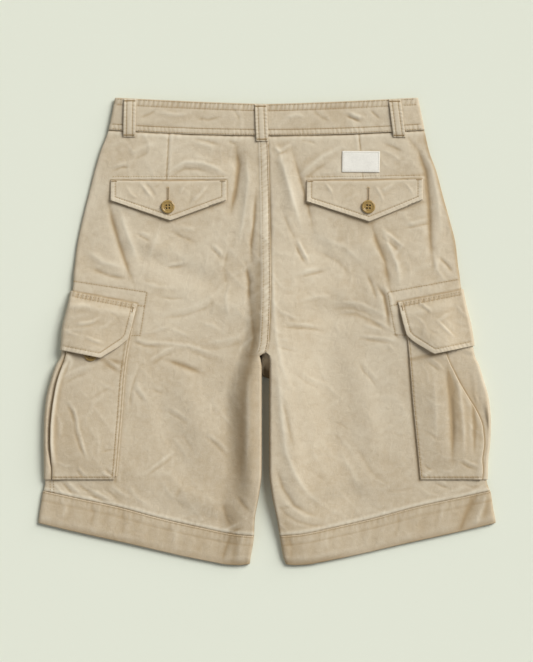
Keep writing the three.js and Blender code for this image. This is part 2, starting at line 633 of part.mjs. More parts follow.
function cargoFlap(side) {
  const sign = signOf[side];
  const sewn = CARGO_FLAP[side];
  const length = Math.hypot(1, sewn.slope);
  const out = point(sign / length, sewn.slope / length, 0);
  const down = point((sign * sewn.slope) / length, -1 / length, 0);
  const place = (along, depth) => point(sewn.x, sewn.y, 0).addScaledVector(out, along).addScaledVector(down, depth);
  const foldAt = (depth, inset) => {
    let along = 90;
    for (let pass = 0; pass < 6; pass++) {
      const p = place(along, depth);
      along += (Math.abs(silhouette[side](p.y)) - inset - Math.abs(p.x)) * length;
    }
    return along;
  };
  const depths = [0, 5, 11, 18, 26, 36, 45, 53, 60, 67, 74, 80].map((d) => (d * sewn.depth) / 80);
  const sections = depths.map((depth) => {
    const edge = foldAt(depth, FLAP / 2);
    const bend = edge - ROLL;
    const start = flapInset((depth * 80) / sewn.depth);
    const onPocket = smooth(2, 20, depth);
    const high = (p) => {
      const cover = pocketTop(side, p.x, p.y) + buttonBump(side, p.x, p.y);
      return lerp(topHeight(p.x, p.y), cover, onPocket) + LAID_GAP + FLAP / 2;
    };
    const upper = steps(9).map((s) => place(lerp(start, bend, s), depth));
    upper.forEach((p) => (p.z = high(p)));
    const turn = halfRoll(6).slice(1, -1).map(({ out: o, up }) => {
      const p = place(bend + o * ROLL, depth);
      p.z = lerp(FLAP / 2, high(place(bend, depth)), (1 + up) / 2);
      return p;
    });
    const lower = steps(4).map((s) => place(lerp(bend, edge - POCKET_REACH_UNDER + start, s), depth));
    lower.forEach((p) => (p.z = FLAP / 2));
    return [...upper, ...turn, ...lower];
  });
  return wall(sections, FLAP, down.clone().negate().multiplyScalar(sign));
}

// Seat pocket flaps, which hang a little clear of the seat at the point

const flapLift = (down) => 0.9 * down ** 2;
const seatFlapHeight = (x, y, down) => topHeight(x, y) + LAID_GAP + FLAP / 2 + flapLift(down);

function seatFlap(side) {
  const flap = SEAT_FLAP[side];
  const depthAt = (s) => {
    const towards = s < flap.pointAt ? s / flap.pointAt : (1 - s) / (1 - flap.pointAt);
    return lerp(flap.side, flap.point, towards);
  };
  const columns = [...steps(7, 0, flap.pointAt), ...steps(7, flap.pointAt, 1).slice(1)];
  const rows = steps(5).map((down) =>
    columns.map((s) => {
      const x = lerp(flap.x1, flap.x2, s);
      const y = lerp(flap.y1, flap.y2, s) - down * depthAt(s);
      return point(x, y, seatFlapHeight(x, y, down));
    }),
  );
  return wall(rows, FLAP, point(0, 1, 0));
}

function labelPatch() {
  const { x, y, wide, high, turn } = LABEL_AT;
  const rows = steps(2, high / 2, -high / 2).map((v) =>
    steps(4, -wide / 2, wide / 2).map((u) => {
      const [px, py] = [x + u + turn * v, y + v - turn * u * 0.5];
      return point(px, py, topHeight(px, py) + LAID_GAP + LABEL / 2);
    }),
  );
  return wall(rows, LABEL, point(0, 1, 0));
}

// Buttons: a turned disc with a dished middle and four sewing holes, with its face up

function solidOf(geometry) {
  geometry.deleteAttribute("normal");
  geometry.deleteAttribute("uv");
  const merged = mergeVertices(geometry, 1e-4);
  const mesh = new wasm.Mesh({
    numProp: 3,
    vertProperties: merged.attributes.position.array,
    triVerts: new Uint32Array(merged.index.array),
  });
  return new wasm.Manifold(mesh);
}

function geometryOf(solid) {
  const mesh = solid.getMesh();
  const geometry = new THREE.BufferGeometry();
  geometry.setAttribute("position", new THREE.BufferAttribute(new Float32Array(mesh.vertProperties), 3));
  geometry.setIndex(new THREE.BufferAttribute(new Uint32Array(mesh.triVerts), 1));
  geometry.computeVertexNormals();
  return geometry;
}

function button(size) {
  const { radius, thick, rim, dish } = size;
  const profile = [
    [0, 0],
    [radius * 0.62, 0],
    [radius, thick * 0.45],
    [radius - rim * 0.35, thick],
    [radius - rim * 1.6, thick],
    [radius - rim * 2.2, thick - dish],
    [0, thick - dish],
  ].map(([r, z]) => new THREE.Vector2(r, z));
  const disc = new THREE.LatheGeometry(profile, 18).rotateX(Math.PI / 2);
  let solid = solidOf(disc);
  for (const [sx, sy] of [[1, 1], [1, -1], [-1, 1], [-1, -1]]) {
    const hole = new THREE.CylinderGeometry(size.holeRadius, size.holeRadius, thick * 3, 5).rotateX(Math.PI / 2);
    hole.translate(sx * size.holeAt, sy * size.holeAt, 0);
    solid = solid.subtract(solidOf(hole));
  }
  return geometryOf(solid);
}

// The garment

const materials = {
  cloth: new THREE.MeshStandardMaterial({ color: COLOURS.cloth, roughness: 0.92, metalness: 0 }),
  label: new THREE.MeshStandardMaterial({ color: COLOURS.label, roughness: 0.85, metalness: 0 }),
  button: new THREE.MeshStandardMaterial({ color: COLOURS.button, roughness: 0.45, metalness: 0 }),
};

const shorts = new THREE.Group();

function add(name, geometry, material = materials.cloth) {
  const mesh = new THREE.Mesh(geometry, material);
  mesh.name = name;
  shorts.add(mesh);
  return mesh;
}

for (const side of ["left", "right"]) {
  add(`back_${side}`, backPanel(side));
  add(`front_${side}`, frontPanel(side));
  add(`hem_${side}`, hem(side));
  add(`waistband_${side}`, waistband(side));
  add(`cargo_pocket_${side}`, cargoPocket(side));
  add(`cargo_gusset_${side}`, cargoGusset(side));
  add(`cargo_flap_${side}`, cargoFlap(side));
  add(`seat_flap_${side}`, seatFlap(side));
}
for (const [name, loop] of Object.entries(BELT_LOOPS)) {
  add(name, beltLoop(loop));
}
for (const [name, x] of Object.entries(FRONT_LOOPS)) {
  add(name, frontLoop(x));
}
add("label_patch", labelPatch(), materials.label);

for (const [name, { x, y }] of Object.entries(BUTTON_AT)) {
  const onFlap = name.startsWith("seat");
  const side = sideOf(x);
  const flap = SEAT_FLAP[side];
  const down = (flap.y1 - y) / flap.point;
  const under = onFlap ? seatFlapHeight(x, y, down) + FLAP / 2 : pocketTop(side, x, y);
  const placed = add(name, button(onFlap ? BUTTON : FLAT_BUTTON), materials.button);
  placed.position.set(x, y, under + SEAM_GAP);
}
const flyButton = add("fly_button", button(FLY_BUTTON), materials.button);
flyButton.rotation.x = Math.PI;
flyButton.position.set(-14, waistSeamY(0) + 20 - frontDip(0), FLY_BUTTON.thick + 0.1);

export default shorts;
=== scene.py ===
"""Dresses the cargo shorts: cloth shells on the solids' form, with creases, seams, stitches and buttons.

The garment lies seat side up. Tables and heights are in millimetres in the CAD frame, meshes in metres.
Creases are placed in the pixels of the picture that shows the garment from straight above, 1.33 mm a pixel.
"""

import math
from functools import partial

import bpy
import numpy as np
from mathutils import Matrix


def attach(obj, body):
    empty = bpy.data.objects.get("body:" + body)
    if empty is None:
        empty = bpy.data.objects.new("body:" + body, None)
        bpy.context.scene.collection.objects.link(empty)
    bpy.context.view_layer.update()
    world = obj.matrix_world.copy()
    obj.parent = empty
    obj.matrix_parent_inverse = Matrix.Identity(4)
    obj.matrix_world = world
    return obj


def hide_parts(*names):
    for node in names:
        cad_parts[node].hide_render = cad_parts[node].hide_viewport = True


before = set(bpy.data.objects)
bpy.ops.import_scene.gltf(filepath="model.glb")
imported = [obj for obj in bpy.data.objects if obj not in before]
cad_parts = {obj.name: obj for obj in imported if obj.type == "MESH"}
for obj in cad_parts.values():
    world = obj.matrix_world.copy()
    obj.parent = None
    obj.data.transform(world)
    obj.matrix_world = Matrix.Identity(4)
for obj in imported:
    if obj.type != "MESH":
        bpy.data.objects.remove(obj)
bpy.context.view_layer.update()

MM = 0.001
PIXEL = 1.33
PICTURE_ORIGIN = (267.0, 331.5)

# Wall thicknesses and gaps
PANEL, POCKET, FLAP, BAND, HEM, LOOP, LABEL = 1.2, 1.0, 1.6, 2.0, 1.8, 1.5, 1.0
SEAM_GAP, LAID_GAP = 0.3, 0.35
HALF_SEAM = SEAM_GAP / 2
ROLL, INNER_ROLL = 3.8, 2.0


def table(columns, *rows):
    """A table's columns by name."""
    return dict(zip(columns.split(), np.array(rows, float).T))


SILHOUETTE = table(
    "y left right",
    (-311, -305.5, 305.5), (-255, -304.5, 304.5), (-235, -302.0, 301.0), (-212, -298.5, 297.5),
    (-196, -297.0, 294.0), (-171, -296.6, 294.5), (-147, -297.0, 297.2), (-123, -296.6, 298.0),
    (-91, -294.0, 295.3), (-59, -286.0, 286.5), (-27, -275.5, 277.5), (5, -272.5, 272.5),
    (37, -264.8, 264.8), (60, -260.5, 260.5), (84, -256.7, 255.0), (116, -252.7, 251.4),
    (148, -246.0, 243.5), (180, -238.0, 234.5), (212, -230.0, 226.0), (240, -221.5, 216.0),
    (267, -211.5, 210.0), (311, -202.2, 201.0),
)
# Centre seam of the seat, then the inner edges of the legs
INNER_EDGE = table(
    "y left right",
    (-311, -23.0, 25.5), (-299, -21.3, 21.3), (-273, -17.0, 16.8), (-251, -16.0, 13.3),
    (-219, -10.6, 6.7), (-187, -6.8, 3.0), (-123, -6.6, 2.7), (-48, -6.6, 2.9), (-38, -8.0, 2.9),
    (-32, -9.2, 2.4), (-28, -1.3, -1.3),
    (-11, 2.7, 2.7), (68, 5.3, 5.3), (122, 4.7, 4.7), (175, 4.0, 4.0), (262, 1.6, 1.6),
)
BACK_CROTCH_Y, FRONT_CROTCH_Y, CROTCH_OPENS_IN = -30, -61, 14
HEM_SEAM = table(
    "x y",
    (17, -272.0), (43, -269.8), (90, -260.6), (141, -249.0), (199, -233.5), (250, -222.5), (298, -212.0),
)
HEM_EDGE = table(
    "x y",
    (23, -309.6), (38, -311.0), (54, -310.2), (72, -307.0), (112, -299.0), (183, -282.6),
    (255, -266.7), (304, -255.0),
)
WAIST = {"top": 302.6, "top_rise": 8.4, "top_power": 1.3, "seam": 260.3, "seam_rise": 7.0, "half": 202}
FRONT_DIP = 11
# The waistband keeps the panels' height at this line and stands a step above it
BAND_LEVEL_Y, BAND_STEP = 262, 0.9

# Heights of the seat side's upper surface, and of what lies under the front
TOP = {"plain": 5.0, "pocket": 0.8, "flap": 1.4, "waist": 2.0, "inner_drop": 0.6, "outer_drop": 0.7}
UNDER = {"waist": 2.3, "pocket": POCKET + 2 * SEAM_GAP, "flap": FLAP + SEAM_GAP}
REACH_UNDER = 88

# Loft of the cloth over the solids' own height, and how much stronger its folds and creases are
LOFT = {"leg": 3.0, "seat": 2.2, "waist": 0.8, "hem": 0.7}
FOLD_GAIN, CREASE_GAIN, WAVE_GAIN, CRUMPLE_GAIN = 2.0, 1.5, 1.5, 1.35
# The seat seam and the inner edges of the legs stand up as a ridge
INNER_HILL = table(
    "y high",
    (-311, 2.0), (-285, 4.4), (-245, 8.6), (-190, 12.0), (-60, 13.2), (-20, 11.8), (20, 9.0), (60, 6.0),
    (100, 3.4), (150, 1.4), (200, 0.5), (240, 0),
)
RIDGE_LINE = table(
    "y left right",
    (-311, -23.0, 25.5), (-273, -17.0, 16.8), (-219, -10.6, 6.7), (-187, -6.8, 3.0), (-90, -6.6, 2.8),
    (-50, -5.6, 2.8), (-5, 2.0, 2.9), (68, 5.3, 5.3), (175, 4.0, 4.0), (262, 1.6, 1.6),
)
# How far in from the ridge line its flank starts and ends, at the seat and at the legs
HILL_FLANK = {"left": (8, 33, 11, 50), "right": (2, 90, 0, 115)}

# Large folds of the seat side
FOLDS = [
    # x1, y1, x2, y2, half width, height
    (-44, 240, -46, 150, 13, -1.1), (-20, 215, -24, 110, 12, 0.7), (33, 240, 40, 120, 13, 1.0),
    (62, 150, 70, 90, 16, -0.7), (-215, 150, -120, 95, 16, 0.8), (-190, 110, -60, 60, 17, -0.8),
    (-110, 60, -12, 20, 16, 0.4), (20, 30, 110, 65, 16, 0.9), (60, 20, 170, 25, 15, -0.8),
    (110, 110, 215, 150, 17, 0.8), (-52, -80, -32, -238, 14, -1.2), (-20, -60, -22, -220, 12, 0.8),
    (-120, -40, -80, -150, 18, 0.8), (-150, -90, -100, -200, 17, -0.7), (18, -50, 42, -220, 13, 1.0),
    (70, -40, 90, -170, 18, -0.8), (110, -30, 150, -160, 18, 0.7), (50, -236, 130, -212, 13, -0.8),
    (-130, -205, -60, -240, 13, 0.7),
]
SMOOTH_PLACES = [
    # x, y, half x, half y
    (-131, 172, 84, 34), (130, 182, 84, 46), (-245, -75, 82, 150), (245, -75, 82, 150),
]
SMOOTH_MARGIN = 26

POCKET_LINES = table(
    "y left_inner right_inner left_pleat right_pleat",
    (-197, -203, 204, -285, 285), (-184, -201.4, 202.8, -285, 286.5),
    (-171, -200.2, 201.5, -287.5, 287.5), (-147, -198.2, 199.2, -290.5, 290.5),
    (-131, -196.9, 197.6, -290.3, 288.5), (-112, -195.2, 195.6, -289.0, 281),
    (-78, -192.8, 192.6, -284.0, 261), (-60, -191.3, 191.2, -279.5, 251),
    (-28, -187.1, 188.6, -266.0, 237), (-6, -183.0, 186.5, -262.0, 233), (16, -179.0, 184.8, -258.0, 230),
)
POCKET_TOP_Y, POCKET_BOTTOM_Y, PLEAT_DEPTH = 16, -197, 11
GUSSET = {"shows": 4.5, "tucked": 11, "top": 4, "bottom": -193}
# Inner edge of a cargo flap, drawn for a flap of this depth, and how far out its lower edge is followed
FLAP_EDGE = table("down inset", (0, 0), (45, 2.4), (53, 6.5), (80, 33.5))
FLAP_EDGE_DEPTH, FLAP_EDGE_REACH = 80, 118
CARGO_FLAP = {
    "left": {"x": -172.1, "y": 37.1, "slope": 0.194, "depth": 80},
    "right": {"x": 173.6, "y": 39.2, "slope": 0.2, "depth": 77},
}
SEAT_FLAP = {
    "left": {"x1": -208, "y1": 201.1, "x2": -53.8, "y2": 201.4, "side": 27, "point": 54, "at": 0.515},
    "right": {"x1": 52.6, "y1": 200.7, "x2": 207, "y2": 203.1, "side": 28, "point": 56, "at": 0.54},
}
BUTTON_AT = {
    "seat_button_left": (-131.7, 165.6), "seat_button_right": (134.6, 165.6),
    "cargo_button_left": (-234, -30.5), "cargo_button_right": (228, -12),
}
LABEL_AT = {"x": 124.8, "y": 225.7, "wide": 50, "high": 28, "turn": 0.02}
BELT_LOOPS = {
    "belt_loop_left": (-182, -183, 1.6), "belt_loop_centre": (-8.3, -6.3, 1.0),
    "belt_loop_right": (169.5, 176, 1.6),
}
FRONT_LOOPS = {"front_loop_left": -118, "front_loop_right": 116}
LOOP_WIDE, LOOP_PAST_SEAM = 16.5, 7.5
FELL = {"wide": 12, "high": 0.9, "rows": (2.2, 10.2)}
SIGN = {"left": -1, "right": 1}
# Hems: height of the closed lower edge, and how far below the seam a row of stitches and an inner fold lie
HEM_CLOSED, HEM_ROW, HEM_FOLD = 5.3, 1.4, 12.5
DARTS = {"left": [(-130.3, 262), (-133.7, 201)], "right": [(122.4, 262), (127.7, 201)]}
# Outline stitched round each cargo flap's upper end, and the short tie between its corners
PATCH_STITCH = {
    "left": [[(-258, 66.9), (-159.6, 52.3), (-168.6, -5.2), (-184, -5.4)], [(-172, 34.6), (-163, 33.3)]],
    "right": [[(254, 69.2), (160.4, 52), (170.6, -4.1), (186, -5.2)], [(174, 36.4), (163.6, 34.0)]],
}
FLAP_STITCH_IN = 6.2
FLAP_LIFT = {"seat": 2.0, "cargo": 3.2}
FLAP_ROWS = (3.2, 7.0)

# Cargo pockets: their layers, how far the face bulges, and the rows of stitches at the inner and lower edges
LAYER_STEP = POCKET + SEAM_GAP
FACE_START = LAID_GAP + POCKET + LAID_GAP + POCKET / 2
FACE_END = LAID_GAP + POCKET / 2 + 2 * LAYER_STEP
BULGE = {"left": 1.8, "right": 3.2}
STITCH_IN = {"left": 3.3, "right": 1.9}
LOW_ROW_UP = 3.6
GUSSET_SHOWS = {"left": 3.0, "right": 1.2}
# The pleat gapes from a height, fully from a lower one, down to two more, and how far
PLEAT_OPENS = {"left": (-24, -60, -150, -187, 3.0), "right": (-112, -140, -165, -188, 2.6)}
# The outer edge stands up beyond the pleat: from and to, as shares of the strip, height, and where it starts
PLEAT_RIM = {"left": (0.0, 0.4, 3.0, -26, -58), "right": (0.5, 0.92, 4.4, -84, -118)}

# Under the waistband, the hems and the left panels, the cloth runs on this far
TUCK = 3.0
CENTRE_BACK_X = -7
ROLL_ANGLES = np.radians([0, 24, 46, 68])
TURN_ANGLES = np.radians(np.linspace(90, -90, 10)[1:-1])[None]
HAIRPIN_ANGLES = np.radians([60, 30, 0, -30, -60])[None]
RIM_ANGLES = np.radians([45, 0, -45])

# Stitches: distance from one to the next, length and radius. Bars of close stitches have their own
PITCH, STITCH_LONG, STITCH_RADIUS = 3.4, 2.5, 0.46
BAR_PITCH, BAR_RADIUS = 0.62, 0.34
LOOP_ROW_IN, BAR_IN = 4.3, 2.6

# Buttons: the four holes, and the outline of the back as shares of the radius and of the height
HOLE_AT, HOLE_RADIUS = 1.9, 1.2
BUTTON_BACK = ((1.012, 0.62), (1.0, 0.42), (0.93, 0.14), (0.8, 0.0), (0.4, 0.0), (0.02, 0.0))
BUTTON_RADIUS, FLY_RADIUS = 8.9, 8.0
BUTTON_THICK = {"seat": 3.0, "cargo": 2.2, "fly": 1.7}
BUTTON_TURN = {"seat_button_left": 0.03, "seat_button_right": -0.06}

# Creases from this half width on are bold forms, which stay strong where the small ones calm down
BOLD = 4.1
# Soft waves of the cloth: height, size, seed step, stretch and angle
WAVES = (
    (0.32, 42, 0, 1.7, 0.7), (0.17, 19, 10, 1.8, -0.5),
    (0.09, 9.5, 20, 2.0, 0.4), (0.035, 5.0, 30, 1.6, -0.8),
)
# Small sharp creases: size, height and angle
CRUMPLES = ((34, 0.5, 0.5), (21, 0.36, -0.9), (13, 0.2, 1.4), (8, 0.1, 0.1))

CAMERA_UP, SENSOR, SEEN_HEIGHT = 3.0, 36.0, 662 * PIXEL * MM

# Creases of the seat side: path in picture pixels, half width in mm, height in mm
CREASES = [
    # under the waistband and round the left seat flap
    ([(236, 148), (239, 165), (236, 188), (231, 212)], 5.5, -1.6),
    ([(246, 150), (248, 180), (244, 215), (238, 250)], 6.5, 0.9),
    ([(190, 138), (207, 141), (222, 146)], 2.6, -0.5), ([(196, 143), (214, 147)], 2.4, 0.4),
    ([(228, 141), (237, 145)], 2.2, -0.5),
    ([(128, 154), (142, 148), (158, 142)], 4.5, 0.5), ([(133, 160), (150, 152)], 4.0, -0.4),
    ([(113, 171), (122, 167), (131, 168)], 2.4, -0.5), ([(116, 166), (128, 162)], 3.0, 0.4),
    ([(167, 174), (176, 167), (185, 162), (203, 163), (216, 168), (228, 176)], 3.2, 0.75),
    ([(172, 176), (184, 169), (198, 169), (212, 174)], 3.0, -0.5),
    ([(193, 156), (205, 158), (214, 162)], 2.6, 0.35),
    ([(108, 198), (112, 220), (120, 246), (129, 272), (135, 286)], 5.5, -1.2),
    ([(119, 208), (128, 235), (139, 264)], 6.0, 0.9),
    ([(161, 226), (154, 244), (148, 262)], 6.0, 0.5),
    ([(136, 234), (144, 238), (151, 242)], 2.0, -0.5), ([(141, 232), (151, 236)], 1.8, 0.4),
    ([(173, 232), (184, 238), (194, 242)], 3.0, -0.5), ([(176, 226), (196, 230)], 4.0, 0.4),
    ([(212, 244), (218, 249), (224, 256)], 1.6, 0.6), ([(210, 247), (216, 253), (221, 259)], 1.8, -0.5),
    ([(165, 265), (176, 264), (186, 262)], 2.0, 0.4), ([(166, 268), (185, 266)], 2.2, -0.35),
    ([(256, 190), (254, 222), (251, 245), (252, 262)], 4.2, -1.3),
    ([(246, 264), (249, 282), (249, 304)], 4.5, -1.2),
    ([(269, 186), (270, 215), (271, 246)], 3.6, -1.0),
    ([(229, 245), (224, 268), (228, 290)], 5.0, -0.4),
    # seat between the left flap and the left cargo flap
    ([(86, 250), (103, 262), (124, 268)], 5.0, 0.7), ([(90, 268), (110, 276), (128, 279)], 4.0, -0.7),
    ([(70, 300), (98, 301), (134, 308)], 4.5, -1.0),
    ([(140, 282), (158, 287), (176, 288)], 2.6, 0.4), ([(158, 296), (172, 299), (184, 298)], 2.2, -0.4),
    ([(150, 312), (168, 313), (187, 309), (205, 302), (222, 288), (236, 271)], 3.2, 0.25),
    ([(160, 318), (184, 316), (204, 309), (219, 298)], 3.4, -0.35),
    ([(168, 328), (182, 333), (190, 337)], 2.2, 0.4), ([(146, 334), (160, 329), (170, 326)], 2.4, 0.45),
    ([(131, 337), (146, 342), (166, 343), (190, 346), (208, 352), (223, 358)], 2.6, 0.6),
    ([(132, 341), (145, 346), (160, 347)], 2.4, -0.6), ([(190, 351), (212, 360)], 2.6, -0.5),
    ([(146, 363), (156, 356), (166, 350), (178, 346)], 2.4, 0.55),
    ([(150, 366), (163, 357), (175, 352)], 2.6, -0.5),
    ([(204, 343), (221, 341), (238, 337), (247, 328)], 3.6, 0.45),
    ([(208, 350), (228, 347), (243, 341)], 3.6, -0.3), ([(229, 318), (226, 300), (230, 282)], 3.6, 0.45),
    ([(200, 322), (214, 326), (222, 333)], 3.0, 0.4),
    # crotch
    ([(250, 296), (252, 318), (254, 338), (250, 356)], 5.5, -0.7),
    ([(237, 352), (246, 343), (255, 336)], 2.6, 0.5),
    ([(273, 345), (282, 348), (296, 352)], 2.0, -0.5), ([(276, 338), (290, 341)], 2.4, 0.4),
    # left leg
    ([(120, 350), (126, 361), (126, 376)], 4.0, -1.2), ([(166, 360), (184, 366), (202, 373)], 5.0, -1.0),
    ([(136, 384), (141, 391), (148, 401)], 2.2, 0.5), ([(133, 388), (139, 396), (144, 402)], 2.2, -0.5),
    ([(152, 389), (158, 392), (165, 394)], 2.2, -0.4), ([(138, 370), (131, 392), (130, 410)], 3.0, -0.6),
    ([(168, 407), (178, 412), (190, 420)], 2.0, 0.45), ([(166, 411), (177, 417), (187, 424)], 2.0, -0.4),
    ([(170, 434), (182, 448), (189, 462)], 3.0, 0.4), ([(178, 430), (190, 446), (196, 458)], 3.0, -0.35),
    ([(147, 472), (158, 463), (173, 452)], 1.8, 0.6), ([(148, 475), (161, 466), (174, 456)], 2.2, -0.45),
    ([(205, 436), (216, 445), (228, 457)], 2.6, -0.5), ([(206, 432), (218, 441), (229, 451)], 2.6, 0.4),
    ([(160, 478), (168, 492), (182, 502)], 4.0, 0.4), ([(182, 484), (176, 498), (187, 512)], 3.6, -0.35),
    ([(249, 366), (248, 400), (248, 436), (246, 474)], 6.0, 0.8),
    ([(237, 496), (243, 504), (250, 511)], 3.4, -0.7), ([(232, 505), (239, 513), (247, 519)], 3.0, 0.3),
    ([(222, 500), (226, 516), (232, 530)], 6.0, -0.6),
    ([(219, 534), (229, 528), (241, 522)], 2.2, 0.7), ([(221, 537), (232, 532), (243, 527)], 2.0, -0.7),
    ([(187, 518), (197, 521), (204, 519)], 2.2, 0.4), ([(126, 483), (138, 498), (152, 508)], 4.0, 0.5),
    # right seat
    ([(274, 142), (281, 158), (287, 180), (294, 204), (302, 230)], 6.5, 1.2),
    ([(292, 150), (300, 178), (308, 205), (313, 232)], 5.5, -1.0),
    ([(272, 146), (280, 151), (293, 143)], 2.6, 0.5), ([(276, 156), (288, 150)], 2.4, -0.5),
    ([(299, 140), (308, 141), (317, 144)], 2.2, -0.4),
    ([(297, 178), (309, 168), (322, 157), (342, 147)], 3.4, 0.7),
    ([(302, 182), (316, 170), (330, 161)], 3.2, -0.5), ([(383, 143), (393, 147), (403, 152)], 3.0, -0.5),
    ([(380, 149), (392, 154), (402, 162)], 3.4, 0.4), ([(318, 174), (332, 172), (345, 170)], 2.0, 0.3),
    ([(297, 239), (302, 249), (309, 262)], 1.8, 0.8), ([(294, 243), (299, 253), (305, 264)], 2.4, -0.6),
    ([(283, 212), (289, 228), (296, 240)], 4.0, -0.5),
    ([(371, 222), (376, 240), (385, 262), (390, 290)], 5.5, -1.1),
    ([(382, 226), (388, 244), (397, 264), (400, 284)], 5.0, 0.9),
    ([(384, 231), (393, 238), (403, 246)], 2.8, 0.7), ([(381, 237), (392, 245), (400, 252)], 3.0, -0.5),
    ([(406, 228), (418, 226), (430, 223)], 1.8, -0.5), ([(408, 224), (428, 219)], 2.2, 0.4),
    ([(392, 258), (400, 248), (406, 240)], 2.6, 0.4), ([(438, 257), (446, 264), (453, 273)], 3.0, -0.7),
    ([(434, 252), (437, 270), (446, 282)], 3.4, 0.5),
    ([(408, 138), (418, 150), (426, 172), (429, 204), (430, 238), (433, 266)], 5.5, -1.3),
    ([(420, 146), (431, 166), (438, 200), (441, 236)], 5.5, 0.7),
    ([(320, 238), (345, 247), (362, 262)], 5.0, 0.5), ([(316, 250), (338, 262), (352, 276)], 5.0, -0.4),
    ([(300, 277), (313, 274), (327, 270)], 2.4, -0.5), ([(302, 272), (318, 268)], 2.6, 0.4),
    ([(366, 272), (373, 288), (377, 302)], 3.6, -0.6),
    # between the crotch and the right cargo flap
    ([(281, 327), (296, 328), (312, 329), (326, 331)], 1.8, -0.6),
    ([(284, 323), (300, 324), (318, 326)], 2.2, 0.45),
    ([(281, 312), (289, 315), (297, 319)], 2.0, 0.5),
    ([(326, 304), (342, 302), (358, 303), (372, 309), (384, 315), (394, 323)], 2.8, 0.45),
    ([(340, 314), (356, 314), (372, 321), (386, 331)], 4.5, -0.45),
    ([(334, 309), (352, 308), (368, 314), (380, 322)], 3.0, -0.45),
    ([(300, 300), (316, 297), (330, 296)], 3.0, 0.4),
    ([(340, 318), (336, 326), (340, 334)], 2.6, 0.35), ([(363, 325), (374, 328), (384, 332)], 2.4, 0.4),
    ([(357, 335), (372, 337), (386, 338), (401, 343)], 1.9, 0.7),
    ([(360, 339), (376, 341), (392, 344)], 2.2, -0.5),
    ([(391, 333), (398, 337), (405, 338)], 2.0, -0.7),
    ([(377, 286), (384, 296), (387, 312), (389, 328)], 3.6, -1.3),
    ([(383, 284), (391, 298), (392, 314)], 2.8, 0.6), ([(372, 318), (384, 325), (392, 330)], 2.2, 0.5),
    # right leg
    ([(272, 262), (274, 300), (276, 336), (281, 364), (290, 388)], 4.2, 0.6),
    ([(359, 362), (363, 371), (370, 378), (377, 388)], 1.9, -0.7),
    ([(363, 360), (367, 368), (374, 375), (381, 384)], 2.2, 0.45),
    ([(294, 366), (308, 377), (326, 385), (346, 402)], 2.2, 0.5),
    ([(292, 371), (306, 382), (322, 390)], 2.4, -0.4),
    ([(347, 404), (351, 411)], 1.6, -0.5), ([(321, 412), (334, 404), (346, 395)], 2.4, 0.4),
    ([(330, 420), (342, 425), (351, 431)], 1.8, -0.4), ([(368, 367), (377, 361), (384, 355)], 2.6, 0.35),
    ([(318, 354), (322, 372), (330, 384)], 4.0, 0.35),
    (
        [(274, 352), (279, 384), (282, 420), (286, 452), (295, 474), (307, 492), (321, 504), (336, 511)],
        4.8, 0.6,
    ),
    ([(282, 398), (288, 424), (293, 448)], 4.2, -0.5),
    ([(276, 466), (283, 488), (294, 505), (312, 515)], 5.5, -0.8),
    ([(278, 504), (286, 514), (297, 521), (312, 525), (328, 526)], 3.0, -0.8),
    ([(282, 499), (292, 508), (304, 516), (322, 519)], 3.0, 0.6),
    ([(279, 522), (284, 527), (288, 533)], 2.2, 0.6),
    ([(275, 508), (286, 507), (292, 507)], 1.8, -0.5), ([(313, 472), (320, 477), (326, 480)], 2.2, -0.4),
    ([(334, 434), (340, 440)], 1.8, -0.4), ([(392, 432), (400, 436), (408, 434)], 2.0, -0.35),
    ([(371, 478), (380, 482), (388, 486)], 1.8, 0.4), ([(388, 491), (402, 490), (418, 487)], 1.8, -0.4),
    ([(369, 504), (380, 510), (392, 506)], 2.0, -0.35), ([(380, 512), (392, 514)], 1.8, 0.35),
    ([(340, 450), (352, 472), (362, 492)], 6.0, 0.4), ([(356, 446), (370, 470), (384, 484)], 6.0, -0.35),
    # below the cargo pockets
    ([(54, 483), (59, 489), (64, 495)], 1.9, 0.9), ([(61, 481), (67, 488), (74, 496)], 1.9, -0.9),
    ([(67, 481), (74, 488), (82, 495)], 1.9, 0.8), ([(78, 484), (84, 489), (91, 493)], 1.9, -0.8),
    ([(88, 494), (98, 499), (108, 503)], 1.8, -0.9), ([(90, 489), (101, 495), (113, 501)], 2.0, 0.9),
    ([(103, 488), (112, 494), (120, 502)], 2.4, -0.5), ([(110, 484), (120, 492), (131, 499)], 2.6, 0.5),
    ([(434, 482), (441, 486), (449, 488)], 1.7, -0.8), ([(437, 479), (447, 484)], 1.8, 0.7),
    ([(438, 497), (452, 491), (468, 486)], 2.2, 0.7), ([(441, 501), (456, 496), (470, 491)], 2.2, -0.7),
    ([(452, 506), (462, 500), (474, 497)], 4.0, -1.2), ([(468, 495), (477, 490), (486, 484)], 2.0, 0.8),
    ([(472, 499), (482, 494), (490, 490)], 1.8, -0.8),
    ([(463, 484), (472, 487), (480, 486)], 1.7, -0.6), ([(420, 488), (430, 494), (440, 496)], 2.2, 0.4),
]
# Some of them, mirrored, are the front's own
FRONT_CREASES = CREASES[20:90]
